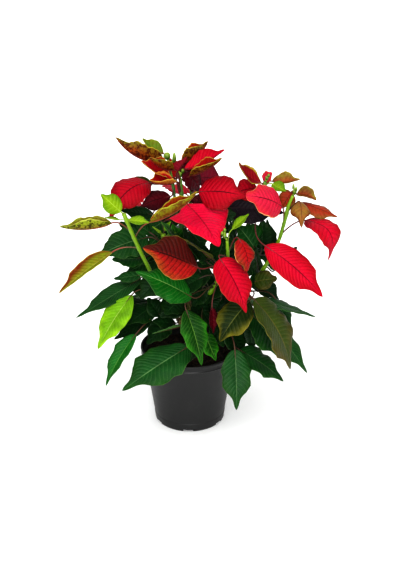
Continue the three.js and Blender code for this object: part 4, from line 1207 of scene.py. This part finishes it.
CENTRE = Shoot("centre", LIME_STEM, [
    (2, -1, 125), (12, -18, 165), (30, -38, 205), (45, -50, 238), (48, -56, 256), (47, -60, 279),
], [
    ovate(0.72, (30, -48, 250), (-35, -56, 282), 34, Tone.OLIVE, -20, arch=0.1, fold=10, wave=0.1),  # edge-on
    lobed(0.6, (4, -74, 210), (-64, -87, 250), 46, Tone.FRESH, 44, arch=0.06, fold=10),  # front left
    lobed(0.56, (-3, -88, 199), (16, -112, 135), 38, Tone.LIVELY, 4, arch=0.06, fold=14, curl=-15),
    lobed(0.36, (0, -78, 144), (-82, -120, 104), 60, Tone.GREEN, 22, arch=0.03, fold=8, lean=0.04),
    ovate(0.32, (-8, -50, 160), (-46, -70, 158), 22, Tone.PALE, -30, fold=14, curl=-10),  # pale underside
    ovate(0.34, (20, -78, 163), (34, -92, 131), 26, Tone.LIVELY, 4),  # low small
    lobed(0.3, (57, -98, 150), (59, -126, 80), 40, Tone.GREEN, -6, arch=0.06),  # low right
    blunt(0.62, (29, -62, 190), (31, -68, 157), 15, Tone.SHADED_RED, -20, fold=20, curl=0),  # brown sliver
    ovate(0.66, (18, -52, 228), (-28, -62, 198), 36, Tone.SHADED_GREEN, 20, arch=0.08),
    blunt(0.45, (32, -44, 162), (44, -60, 134), 34, Tone.SHADED_GREEN, -10),
    ovate(0.7, (20, -26, 238), (2, -40, 202), 38, Tone.SHADED_GREEN, 10),
    ovate(0.5, (40, -22, 222), (22, -44, 186), 38, Tone.SHADED_GREEN),
    blunt(0.28, (14, -60, 158), (-2, -74, 119), 36, Tone.SHADED_GREEN),
    blunt(0.42, (10, -30, 186), (30, -52, 158), 36, Tone.SHADED_GREEN, 10),
    blunt(0.68, (23, -38, 242), (4, -46, 261), 22, Tone.SHADED_GREEN, 30),
    blunt(0.5, (18, -32, 205), (5, -42, 182), 26, Tone.SHADED_GREEN, 20),
    blunt(0.46, (41, -38, 191), (30, -50, 177), 22, Tone.SHADED_GREEN, 20),
    blunt(0.5, (9, -30, 238), (-6, -24, 282), 26, Tone.SHADED_GREEN, 20),
    blunt(0.6, (23, -20, 232), (14, -14, 259), 26, Tone.SHADED_GREEN, fold=10),
], [
    tapered(0.86, (38, -78, 263), (70, -106, 203), 52, Tone.POPPY, 6, arch=0.08, curl=-25),  # front
    ovate(0.8, (11, -80, 252), (-54, -97, 285), 56, Tone.EMBER, 46, arch=0.06, fold=10),  # front left
    blunt(0.94, (53, -65, 296), (73, -60, 314), 13, Tone.LIME, 20, fold=15, curl=0),  # lime tip
    rounded(0.9, (61, -66, 284), (71, -80, 246), 30, Tone.EMBER_RED, arch=0.2, fold=5, curl=-45),  # shell
])
EAST = Shoot("east", LIME_STEM, [
    (3, 1, 116), (30, -3, 150), (62, -7, 178), (87, -2, 203), (112.5, 0, 250), (121, 0, 281),
    (126, 0, 304), (130.5, 0, 316),
], [
    ovate(0.4, (75, -72, 204), (38, -97, 160), 46, Tone.DUSK, 20, arch=0.08),  # olive
    ovate(0.45, (80, -78, 209), (126, -105, 126), 70, Tone.OLIVE, -6, arch=0.1, lean=0.06),  # large olive
    ovate(0.48, (81, -40, 193), (160, -60, 176), 32, Tone.GREEN, -6, arch=0.02, fold=10),  # right
    ovate(0.36, (101, -28, 157), (153, -50, 91), 38, Tone.GREEN, 4, arch=0.02, fold=14),  # right low
    ovate(0.3, (80, -52, 176), (114, -72, 126), 52, Tone.GREEN, 10, arch=0.06),
    lobed(0.24, (64, -74, 137), (119, -92, 102), 50, Tone.GREEN, 6, arch=0.05, fold=10, lean=0.04),  # low
    rounded(0.56, (82, -18, 206), (112, -28, 215), 26, Tone.OLIVE, 50, arch=0.06, fold=8),  # round
    ovate(0.58, (112, 16, 208), (140, 18, 240), 34, Tone.SHADED_GREEN, 30, wave=0.12),  # behind arrow
    ovate(0.3, (65, -30, 186), (93, -45, 143), 40, Tone.SHADED_GREEN),
    blunt(0.28, (46, -55, 163), (72, -72, 124), 38, Tone.SHADED_GREEN),
    ovate(0.28, (24, 0, 196), (62, -30, 168), 42, Tone.SHADED_GREEN, arch=0.1),
    blunt(0.34, (78, -40, 157), (81, -52, 128), 30, Tone.SHADED_GREEN, 10),
    blunt(0.4, (111, -34, 188), (130, -48, 155), 32, Tone.GREEN),
    blunt(0.46, (88, -20, 195), (82, -14, 221), 22, Tone.SHADED_GREEN),
], [
    ovate(0.92, (141, 2, 306), (187, -12, 292), 27, Tone.BROWN, 20, arch=0.03, fold=0, curl=-40),  # outer
    blunt(0.94, (136, 8, 316), (160, -2, 311), 24, Tone.CURLED, 20, arch=0.1, fold=15, curl=30),
    ovate(0.9, (138, -6, 311), (139, -40, 288), 32, Tone.TAN, arch=0.3, fold=-10, curl=-50),  # dome
    blunt(0.9, (128, 14, 302), (117, 26, 318), 18, Tone.BROWN, fold=30, curl=0),  # back small
    tapered(0.78, (146, -8, 286), (175, -30, 240), 39, Tone.POPPY, 12, arch=0.5, fold=8),  # outer banner
    rounded(0.84, (117, -4, 303), (70, -28, 326), 46, Tone.CREAM_EDGED, 50, arch=0.12, fold=5, curl=-30),
    blunt(0.88, (129, 8, 318), (117, 2, 299), 24, Tone.BROWN, 30, fold=10),  # brown
])
INNER = Shoot("inner", GREEN_STEM, [
    (2, 3, 135), (25, 16, 180), (52, 28, 225), (80, 37, 270), (98, 40, 321),
], [
    ovate(0.44, (86, 18, 236), (62, 22, 268), 50, Tone.GREEN, 40, arch=0.06),  # left
    ovate(0.47, (109, 34, 232), (101, 30, 274), 34, Tone.SHADED_GREEN, fold=14),  # right
    blunt(0.48, (92, 62, 222), (130, 84, 196), 42, Tone.GREEN, arch=0.1),
    ovate(0.4, (82, 24, 190), (118, 6, 168), 34, Tone.SHADED_GREEN, 10, arch=0.1),
    blunt(0.44, (74, 12, 234), (70, -8, 200), 30, Tone.SHADED_GREEN, 10),  # front
    blunt(0.42, (56, 6, 244), (66, -14, 222), 32, Tone.SHADED_GREEN, 20),
    blunt(0.4, (96, 22, 181), (86, 12, 243), 34, Tone.SHADED_GREEN, 20),  # low left
    blunt(0.46, (60, 10, 248), (52, 14, 280), 22, Tone.SHADED_GREEN, fold=10),
    blunt(0.5, (95, 30, 231), (96, 34, 271), 30, Tone.SHADED_GREEN),
], [
    ovate(0.94, (93, 38, 320), (63, 28, 351), 28, Tone.DUSKY, 35, arch=-0.14, fold=10, curl=25),
    blunt(0.95, (97, 52, 317), (107, 48, 331), 20, Tone.CREAM_EDGED, 50, curl=0),  # heart
    ovate(0.92, (107, 46, 320), (143, 42, 324), 28, Tone.CURLED, 20, arch=-0.08, fold=20, curl=30),
    blunt(0.9, (106, 26, 323), (123, 13, 317), 17, Tone.LIME, 30, fold=20, curl=0),  # right lime
    ovate(0.95, (88, 42, 312), (57, 40, 306), 32, Tone.SHADED_CRIMSON, 45, arch=0.08, fold=8),  # left red
    ovate(0.72, (42, 30, 290), (121, 14, 288), 46, Tone.SHADOW_BLACK, 34, arch=0.04, fold=10),  # left shaded
    ovate(0.8, (95, -28, 260), (168, -52, 200), 44, Tone.POPPY, 38, arch=0.1, fold=8, curl=-15),
])
CROWN = Shoot("crown", GREEN_STEM, [
    (0, 3, 145), (-3, 12, 200), (-7, 22, 240), (-9, 28, 275), (-9, 30, 295), (-11, 32, 328),
], [
    ovate(0.42, (-32, 22, 222), (-84, 8, 204), 40, Tone.GREEN, 20, arch=0.1),  # left
    ovate(0.5, (20, 8, 238), (44, -18, 216), 34, Tone.GREEN, arch=0.1),  # right
    blunt(0.44, (-31, 30, 262), (-52, 18, 240), 36, Tone.GREEN, 20),
    ovate(0.48, (2, 14, 264), (20, -8, 248), 34, Tone.GREEN, 10),
    ovate(0.46, (22, 26, 270), (56, 16, 262), 36, Tone.GREEN, 40),
    blunt(0.49, (-33, 26, 272), (-53, 18, 262), 36, Tone.GREEN, 30),
    ovate(0.44, (46, 8, 258), (36, -18, 236), 38, Tone.GREEN, 20),
    blunt(0.44, (-10, 52, 262), (-36, 50, 288), 38, Tone.GREEN, 60, fold=8, curl=-15),
    blunt(0.5, (19, 14, 254), (50, 22, 278), 30, Tone.SHADED_GREEN, 30, fold=10),
    blunt(0.5, (10, 24, 294), (14, 28, 309), 22, Tone.SHADED_RED, 30, fold=10),
    blunt(0.5, (41, 2, 288), (60, 3, 291), 18, Tone.SHADED_GREEN, 60, fold=10),
], [
    ovate(0.9, (-32, 45, 347), (-91, 20, 386), 42, Tone.BRONZE, -16, arch=-0.13, fold=30, curl=70, on=1),
    ovate(0.84, (-33, 62, 352), (-60, 60, 373), 22, Tone.LEAFY, 40, arch=-0.1, fold=10, curl=20, on=1),
    ovate(0.94, (-19, 25, 342), (-49, 6, 364), 27, Tone.BRONZE, arch=-0.1, fold=30, curl=70),  # left rolled
    ovate(0.9, (-24, 28, 332), (-59, 2, 361), 34, Tone.CUPPED, 34, arch=-0.06, fold=14, curl=24),
    ovate(0.88, (-17, 22, 327), (-48, -14, 341), 36, Tone.CUPPED, 15, arch=-0.08, fold=20, curl=50),
    ovate(0.8, (-48, 14, 328), (-99, -22, 293), 46, Tone.SHADED_CRIMSON, 28, arch=0.33, fold=4, curl=-25, on=1),
    ovate(0.7, (-24, 38, 302), (-64, 34, 288), 30, Tone.SHADED_RED, 40, arch=0.12, fold=8, on=1),  # left shaded
    ovate(0.9, (-10, 52, 343), (24, 50, 372), 37, Tone.BRONZE, arch=-0.12, fold=30, curl=70),  # right rolled
    ovate(0.88, (-6, 34, 340), (45, 20, 370), 33, Tone.CRIMSON, 30, arch=-0.06, fold=15, curl=25, on=2),
    ovate(0.86, (1, 22, 335), (41, 0, 365), 30, Tone.BRONZE, 20, arch=-0.06, fold=26, curl=55, on=2),
    ovate(0.9, (9, 55, 322), (44, 72, 312), 40, Tone.ROSE, 50, arch=0.1, fold=10, on=2),  # right back
    ovate(0.84, (-3, 33, 337), (13, 34, 309), 40, Tone.SHADED_RED, 30, arch=0.1, fold=8, on=2),  # right hanging
    ovate(0.74, (12, 12, 317), (72, -6, 317), 50, Tone.SHADED_CRIMSON, 46, arch=0.12, fold=6, curl=-25, on=2),
    kite(0.62, (-3, 2, 305), (37, -70, 275), 103, Tone.LIT_CRIMSON, -7, arch=0.05, fold=8, curl=-14, lean=0.05,
         on=2),
    blunt(0.8, (-14, 25, 341), (-3, 12, 363), 20, Tone.CREAM_EDGED, fold=20, curl=0),  # centre red
    blunt(0.86, (-4, 30, 324), (4, 22, 345), 20, Tone.SHADED_RED, curl=0, on=2),  # centre low
    blunt(0.82, (0, 46, 319), (-1, 58, 349), 24, Tone.SHADED_RED, fold=10, curl=0, on=2),  # right heart
    blunt(0.86, (-16, 62, 320), (-28, 70, 345), 20, Tone.BRONZE, 50, fold=10, curl=0, on=1),  # centre back
    blunt(0.76, (-47, 40, 318), (-79, 34, 326), 16, Tone.OLIVE, 40, fold=8, curl=0, on=1),  # left olive
], [
    [(-8, 25, 256), (-17, 38, 282), (-20, 46, 308), (-25, 51, 334)],
    [(-8, 26, 264), (0, 35, 288), (3, 39, 306), (4, 40, 320)],
])
YOUNG = Shoot("young", LIME_STEM, [(-1, 2, 140), (-14, 2, 190), (-28, -2, 235), (-33, -1, 265)], [
    blunt(1, (-36, -3, 267), (-46, -10, 279), 10, Tone.LIME, fold=15, curl=0),  # tip left
    blunt(0.99, (-31, 1, 268), (-23, 5, 280), 11, Tone.BRIGHT, fold=15, curl=0),  # tip right
    blunt(0.98, (-29, -5, 264), (-16, -12, 271), 11, Tone.BRIGHT, fold=15, curl=0),  # tip front
    lobed(0.86, (-53, 8, 257), (-116, -12, 239), 50, Tone.GREEN, 34, arch=0.08),  # left
    blunt(0.84, (-10, -14, 258), (-34, -30, 292), 24, Tone.LIVELY, 30),  # fresh
    blunt(0.8, (-46, 14, 286), (-86, 2, 296), 18, Tone.SHADED_GREEN, 50, fold=10),  # band
    blunt(0.8, (-10, -10, 251), (-21, -3, 279), 24, Tone.LIVELY, 10, fold=10),
    blunt(0.84, (-50, 14, 261), (-68, 14, 274), 18, Tone.GREEN, 40, fold=10),
])
BACK_LEFT = Shoot("back_left", GREEN_STEM, [(-2, 3, 128), (-22, 30, 165), (-48, 62, 215), (-58, 78, 262)], [
    blunt(0.82, (-62, 52, 240), (-92, 42, 264), 36, Tone.GREEN, 40),
    ovate(0.84, (-80, 34, 238), (-118, 22, 228), 30, Tone.GREEN, 30, arch=0.06),
    blunt(0.7, (-73, 62, 226), (-111, 56, 211), 34, Tone.GREEN, 10, arch=0.1),  # left
    blunt(0.76, (-72, 98, 218), (-104, 138, 176), 44, Tone.GREEN, arch=0.1),
    blunt(0.66, (-48, 100, 204), (-54, 154, 162), 46, Tone.GREEN, arch=0.1),
    blunt(0.4, (-46, 56, 160), (-84, 96, 120), 46, Tone.GREEN, arch=0.1),  # low
    ovate(0.72, (-40, 22, 236), (-94, 22, 220), 42, Tone.GREEN, 30, arch=0.08),
    blunt(0.74, (-62, 0, 232), (-98, -14, 235), 28, Tone.GREEN, 30),
], [
    blunt(0.94, (-66, 84, 272), (-98, 104, 258), 30, Tone.CRIMSON, arch=0.1, fold=10),
    blunt(0.95, (-54, 92, 272), (-50, 138, 252), 34, Tone.CRIMSON, arch=0.12, fold=10),
    blunt(0.92, (-44, 84, 270), (-22, 118, 268), 26, Tone.CRIMSON, arch=0.1, fold=14),
])
BACK_RIGHT = Shoot("back_right", GREEN_STEM, [(2, 4, 122), (22, 32, 160), (48, 64, 205), (62, 84, 262)], [
    blunt(0.76, (84, 74, 214), (128, 62, 180), 42, Tone.GREEN, arch=0.1),  # right
    blunt(0.7, (78, 104, 210), (112, 146, 170), 44, Tone.GREEN, arch=0.1),
    blunt(0.62, (52, 104, 196), (56, 158, 156), 46, Tone.GREEN, arch=0.1),
    blunt(0.36, (48, 56, 156), (92, 96, 118), 46, Tone.GREEN, arch=0.1),  # low
], [
    blunt(0.94, (72, 90, 270), (106, 106, 258), 32, Tone.CRIMSON, arch=0.1, fold=10),
    blunt(0.95, (62, 98, 272), (62, 146, 254), 36, Tone.CRIMSON, arch=0.12, fold=10),
    blunt(0.92, (50, 92, 270), (26, 122, 266), 28, Tone.CRIMSON, arch=0.1, fold=14),
])
BACK_MIDDLE = Shoot("back_middle", GREEN_STEM, [(0, 5, 138), (2, 40, 185), (4, 74, 232), (6, 90, 272)], [
    blunt(0.8, (-14, 106, 232), (-34, 152, 206), 38, Tone.GREEN, arch=0.1),
    blunt(0.74, (22, 104, 226), (42, 150, 200), 38, Tone.GREEN, arch=0.1),
    blunt(0.42, (2, 78, 160), (0, 136, 118), 48, Tone.GREEN, arch=0.1),  # low
], [
    blunt(0.86, (7, 106, 282), (4, 152, 270), 36, Tone.CRIMSON, arch=0.12, fold=10),
    blunt(0.84, (-4, 98, 284), (-38, 116, 290), 30, Tone.CRIMSON, arch=0.08, fold=14),
    blunt(0.88, (16, 96, 282), (48, 112, 290), 28, Tone.CRIMSON, arch=0.08, fold=14),
])
SHOOTS = [WEST, CENTRE, EAST, INNER, CROWN, YOUNG, BACK_LEFT, BACK_RIGHT, BACK_MIDDLE]

CUPS = [
    Cyathia("crown", CROWN, 0, [(-11, 33, 333, 2.6, 1.2), (-8, 32, 338, 2.2, 1.3), (-14, 35, 338, 2, 1.5)]),
    Cyathia("crown_left", CROWN, 1, [
        (-25, 52, 338, 2.6, 1.2), (-28.5, 54, 351, 4.6, 1), (-19, 50.5, 350, 2.6, 2.6)]),
    Cyathia("crown_right", CROWN, 2, [(4.3, 40.6, 325.6, 2, 1.3), (7, 44, 330, 1.8, 1.6)]),
    Cyathia("centre", CENTRE, 0, [(44, -60, 285, 2.6, 1.2), (41, -62, 289, 2, 1.3), (44, -57, 291, 2, 1.5)]),
    Cyathia("east", EAST, 0, [
        (132.5, 0, 321, 2.6, 1.2), (134, -3, 325.5, 1.8, 1.6), (131, 2, 327.5, 1.6, 2.2)]),
    Cyathia("inner", INNER, 0, [(100, 40, 326, 2.2, 1.3), (102, 38, 330, 1.8, 1.3)]),
    Cyathia("back_middle", BACK_MIDDLE, 0, [(6.2, 92.1, 277.6, 2.4, 1.3), (4, 90, 283, 2, 1.3)]),
]


# ---------------------------------------------------------------- pot, peat and trunk


@dataclass(frozen=True)
class Pot:
    """The tapered nursery pot: a thin wall, a straight band at the rim and a drained foot ring."""

    height: float = 107.0
    rim: float = 65.0
    band: float = 11.0
    shoulder: float = 60.5
    base: float = 46.5
    wall: float = 2.0
    floor: float = 2.4
    foot_rise: float = 3.5
    foot_width: float = 3.5
    pad: float = 30.0
    drains: int = 6
    drain_width: float = 13.0
    drain_turn: float = -math.pi / 2 - 0.04
    drain_past: float = 4.0  # how far a slot cuts past the foot ring
    drain_clear: float = 0.2  # how far its roof stays under the base
    hole: float = 3.6
    hole_out: float = 36.6  # from the middle of the base
    hole_depth: float = 14.0
    steps: int = 144
    rounding: float = 0.35
    sharp: float = 16.0  # degrees between faces from which a turned corner is rounded
    crease: float = 34.0  # and from which it stays a crease in the shading

    def profile(self) -> list[tuple[float, float]]:
        """The wall's outline as radius and height, from the middle of the base up and back inside.

        Returns:
            The outline's points.
        """
        top, rim, inner, base, pad = self.height, self.rim, self.rim - self.wall, self.base, self.pad
        rise, ring, band = self.foot_rise, self.base - self.foot_width, self.height - self.band
        return [
            (0, 0), (pad, 0), (pad + 2, rise), (ring, rise), (ring, 0), (base - 1.6, 0), (base, 1.6),
            (base + 1.3, 11.5), (base + 0.95, 12.1), (self.shoulder, band), (rim - 1.6, band + 0.2),
            (rim - 0.7, band + 0.9), (rim - 0.45, band + 2), (rim - 1, band + 3), (rim - 0.8, top - 4.4),
            (rim - 0.2, top - 3.2), (rim, top - 2), (rim, top - 0.6), (rim - 0.6, top), (inner + 0.3, top),
            (inner - 0.3, top - 0.6), (inner - 1, band + 2), (self.shoulder - self.wall, band - 1),
            (base - self.wall - 0.6, rise + self.floor), (pad + 1, rise + self.floor),
            (pad - 1, self.floor), (0, self.floor),
        ]

    def _spun(self) -> bmesh.types.BMesh:
        """Spins the outline into the closed wall, with its turned corners rounded.

        Returns:
            The wall.
        """
        wall = bmesh.new()
        verts = [wall.verts.new((r * MM, 0, z * MM)) for r, z in self.profile()]
        edges = [wall.edges.new(pair) for pair in zip(verts, verts[1:])]
        bmesh.ops.spin(wall, geom=verts + edges, cent=(0, 0, 0), axis=(0, 0, 1), angle=2 * math.pi,
                       steps=self.steps, use_merge=True)
        bmesh.ops.remove_doubles(wall, verts=wall.verts[:], dist=1e-6)
        bmesh.ops.recalc_face_normals(wall, faces=wall.faces[:])
        rings = []
        for edge in wall.edges:
            one, other = (vert.co for vert in edge.verts)
            level = abs(one.z - other.z) < WELD and abs(one.xy.length - other.xy.length) < WELD
            if level and edge.is_manifold and edge.calc_face_angle() > math.radians(self.sharp):
                rings.append(edge)
        bmesh.ops.bevel(wall, geom=rings, offset=self.rounding * MM, segments=2, profile=0.5, affect="EDGES",
                        material=-1)
        return wall

    def _cutter(self) -> bmesh.types.BMesh:
        """Makes what is cut away: the drain slots through the foot ring and the holes beside them.

        Returns:
            The cutter.
        """
        cutter = bmesh.new()
        deep, tall = 2 * self.foot_width + self.drain_past, 2 * self.foot_rise * MM - self.drain_clear * MM
        slot = Matrix.Translation((self.base * MM, 0, 0)) @ Matrix.Diagonal(
            (deep * MM, self.drain_width * MM, tall, 1))
        hole = Matrix.Translation((self.hole_out * MM, 0, self.foot_rise * MM))
        for k in range(self.drains):
            turn = Matrix.Rotation(2 * math.pi * k / self.drains + self.drain_turn, 4, "Z")
            bmesh.ops.create_cube(cutter, size=1.0, matrix=turn @ slot)
            bmesh.ops.create_cone(cutter, cap_ends=True, segments=28, radius1=self.hole * MM,
                                  radius2=self.hole * MM, depth=self.hole_depth * MM, matrix=turn @ hole)
        return cutter

    def build(self) -> None:
        """Builds the pot and cuts its drains."""
        wall = stand("wall", hold("wall", self._spun()))
        drains = stand("drains", hold("drains", self._cutter()))
        cut = wall.modifiers.new("drains", "BOOLEAN")
        cut.object, cut.solver = drains, "EXACT"
        bpy.context.view_layer.update()
        shell = bpy.data.meshes.new_from_object(wall.evaluated_get(bpy.context.evaluated_depsgraph_get()))
        piece = Piece("nursery_pot")
        part = piece.part()
        part.from_mesh(shell)
        for mesh in (wall.data, drains.data, shell):
            bpy.data.meshes.remove(mesh)  # its object goes with it
        piece.take(part, MouldedPlastic())
        for edge in piece.mesh.edges:
            edge.smooth = not edge.is_manifold or edge.calc_face_angle() < math.radians(self.crease)
        piece.finish(["pot"], "pot")


@dataclass(frozen=True)
class Soil:
    """The peat in the pot: an uneven crowned top with loose crumbs, round the trunk's hole."""

    top: float = 95.0
    crown: float = 4.0
    radius: float = 58.1
    hole: float = 6.3
    hole_foot: float = 59.7
    low: float = 6.2
    low_radius: float = 58.1 * 0.735
    lumps: tuple[Point, ...] = ((3.1, 0.11, 1.5), (8.7, 0.33, 0.7))  # level, scale and height of each noise
    crumbs: int = 300
    crumb_size: tuple[float, float] = (0.5, 1.7)
    crumb_stretch: tuple[float, float] = (0.6, 1.3)
    seed: int = 11

    def height(self, x: float, y: float) -> float:
        """The height of the top at a place, in millimetres.

        Args:
            x: The place's distance to the right of the middle.
            y: Its distance behind the middle.

        Returns:
            The height.
        """
        out = math.hypot(x, y)
        crown = self.crown * (1 - min(1.0, out / self.radius) ** 1.6)
        lumps = sum(noise.noise(Vector((x, y, level)) * scale) * high for level, scale, high in self.lumps)
        calm = min(1.0, max(0.0, (self.radius - out) / 4)) * min(1.0, max(0.0, (out - self.hole) / 3))
        return self.top + crown + lumps * calm

    def _surface(self, across: np.ndarray, along: np.ndarray) -> np.ndarray:
        """Lays the skin: from the hole's floor up, out over the top, down the side and in below.

        Args:
            across: Places round it, 0 to 1.
            along: Places along that way, 0 to 1.

        Returns:
            The points there.
        """
        turn = across * 2 * np.pi
        radius, hole, low = self.radius, self.hole, self.low_radius
        out = np.interp(along, [0, 0.12, 0.86, 0.88, 1], [hole, hole, radius, radius, 0])
        out = np.where(along > 0.9, np.interp(along, [0.9, 0.95, 1], [radius, low, 0]), out)
        z = np.vectorize(self.height)(out * np.cos(turn), out * np.sin(turn))
        z = np.where(along < 0.1, np.interp(along, [0, 0.1], [self.hole_foot, self.top - 1]), z)
        z = np.where(along > 0.9, np.interp(along, [0.9, 0.95, 1], [self.top, self.low, self.low]), z)
        out = np.where(along < 0.02, out * along / 0.02, out)
        return np.stack([out * np.cos(turn), out * np.sin(turn), z], axis=-1)

    def _crumb(self, piece: Piece, draw: np.random.Generator) -> None:
        """Drops one crumb on the top.

        Args:
            piece: The piece.
            draw: Where its place, size and shape are drawn from.
        """
        out, turn = self.radius * 0.94 * math.sqrt(draw.uniform(0.03, 1)), draw.uniform(0, 2 * math.pi)
        x, y = out * math.cos(turn), out * math.sin(turn)
        size = draw.uniform(*self.crumb_size)
        place = Matrix.Translation(Vector((x, y, self.height(x, y) + size * 0.25)) * MM)
        stretch = Matrix.Diagonal((*(size * MM * draw.uniform(*self.crumb_stretch, 3)), 1))
        spin = Matrix.Rotation(draw.uniform(0, 6.3), 4, Vector(draw.uniform(-1, 1, 3)).normalized())
        crumb = piece.part()
        bmesh.ops.create_icosphere(crumb, subdivisions=1, radius=1.0, matrix=place @ spin @ stretch)
        piece.take(crumb, Peat())

    def build(self) -> None:
        """Builds the plug of peat and strews the crumbs."""
        piece = Piece("peat_fill")
        part = piece.grid(96, 60, self._surface)
        bmesh.ops.recalc_face_normals(part, faces=part.faces[:])
        piece.take(part, Peat())
        draw = np.random.default_rng(self.seed)
        for _ in range(self.crumbs):
            self._crumb(piece, draw)
        piece.finish(["soil"], "soil")


@dataclass(frozen=True)
class WoodyTrunk:
    """The short woody trunk and the stub of each branch."""

    shoots: list[Shoot]
    radius: float = 5.95
    top_radius: float = 5.0
    foot: float = 60.0
    top: float = 150.0
    thins: float = 104.0  # it thins above this height
    leans: float = 105.0  # it leans back above this one
    lean: float = 2.5
    scars: tuple[float, ...] = (112, 119, 127, 136)
    scar_rise: float = 0.4
    scar_width: float = 1.4
    stub: tuple[float, float] = (1.35, 1.1)  # a stub's thickness at its two ends, as parts of its shoot's
    gap: float = 0.6  # between a stub and its shoot

    def build(self) -> None:
        """Builds the trunk with its ring scars, and the stubs."""
        piece = Piece("woody_trunk")
        height = self.foot + (self.top - self.foot) * np.linspace(0, 1, 46)
        shift = np.interp(height, [self.leans, self.top], [0, self.lean])
        rings = np.exp(-(((height[:, None] - np.array(self.scars)) / self.scar_width) ** 2))
        thick = np.interp(height, [self.thins, self.top], [self.radius, self.top_radius])
        thick = thick + self.scar_rise * rings.sum(axis=1)
        piece.tube(np.stack([shift * 0, shift, height], axis=-1), thick, Bark(), 24)
        for shoot in self.shoots:
            axis = shoot.axes[0]
            parts = np.linspace(0, shoot.woody - self.gap / axis.length, 12)
            thick = np.linspace(*(shoot.radius * part for part in self.stub), len(parts))
            piece.tube(axis.at(parts), thick, Bark(), 14)
        piece.finish(["trunk"], "bark")


# ---------------------------------------------------------------- studio


@dataclass(frozen=True)
class Sun:
    """A soft even light: where it shines from, its spread in degrees and its strength."""

    name: str
    place: Point
    spread: float
    power: float

    def build(self) -> None:
        """Hangs the light."""
        data = bpy.data.lights.new(self.name, "SUN")
        data.angle, data.energy = math.radians(self.spread), self.power
        lamp = stand(self.name, data)
        lamp.location = self.place
        lamp.rotation_euler = Vector(self.place).to_track_quat("Z", "Y").to_euler()


@dataclass(frozen=True)
class Studio:
    """The pale floor, the soft lights and the camera."""

    eye: Point = (14.0, -1300.0, 767.0)
    pitch: float = 23.8  # degrees down
    lens: float = 69.03
    paper: int = 0xFAFAFA
    glow: float = 0.36  # strength of the white light from all round
    suns: tuple[Sun, ...] = (
        Sun("left", (-0.55, -0.7, 1.4), 50, 1.4), Sun("right", (0.6, -0.75, 1.4), 50, 1.0),
        Sun("front", (0.06, -1.4, 0.42), 24, 2.1), Sun("back", (0.2, 1.3, 0.9), 50, 0.5),
    )

    def _floor(self) -> None:
        """Lays the floor."""
        sheet = bmesh.new()
        bmesh.ops.create_grid(sheet, x_segments=8, y_segments=8, size=40.0)
        floor = stand("floor", hold("floor", sheet))
        s = Shader("floor_paper")
        s.set(Base_Color=srgb(self.paper), Roughness=0.9, Specular_IOR_Level=0.1)
        floor.data.materials.append(s.material)

    def _world(self) -> None:
        """Lights the studio from all round, and sets how the colours are shown."""
        world = bpy.data.worlds.new("studio")
        world.use_nodes = True
        background = world.node_tree.nodes["Background"]
        background.inputs["Color"].default_value = (1.0, 1.0, 1.0, 1.0)
        background.inputs["Strength"].default_value = self.glow
        scene = bpy.context.scene
        scene.world = world
        scene.view_settings.view_transform = "Standard"
        scene.view_settings.look = "High Contrast"

    def _camera(self) -> None:
        """Sets the camera where the plant is seen from a little above."""
        data = bpy.data.cameras.new("camera")
        data.sensor_fit, data.sensor_height, data.lens = "VERTICAL", 36.0, self.lens
        data.clip_end = 200.0
        camera = stand("camera", data)
        camera.location = Vector(self.eye) * MM
        camera.rotation_euler = (math.radians(90 - self.pitch), 0, 0)
        bpy.context.scene.camera = camera

    def build(self) -> None:
        """Builds the studio."""
        self._floor()
        for sun in self.suns:
            sun.build()
        self._world()
        self._camera()


def main() -> None:
    """Builds the plant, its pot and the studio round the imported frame."""
    logging.basicConfig(level=logging.INFO, format="%(message)s")
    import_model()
    Studio().build()
    for assembly in [Pot(), Soil(), WoodyTrunk(SHOOTS), *SHOOTS, *CUPS]:
        assembly.build()


if __name__ == "__main__":
    main()
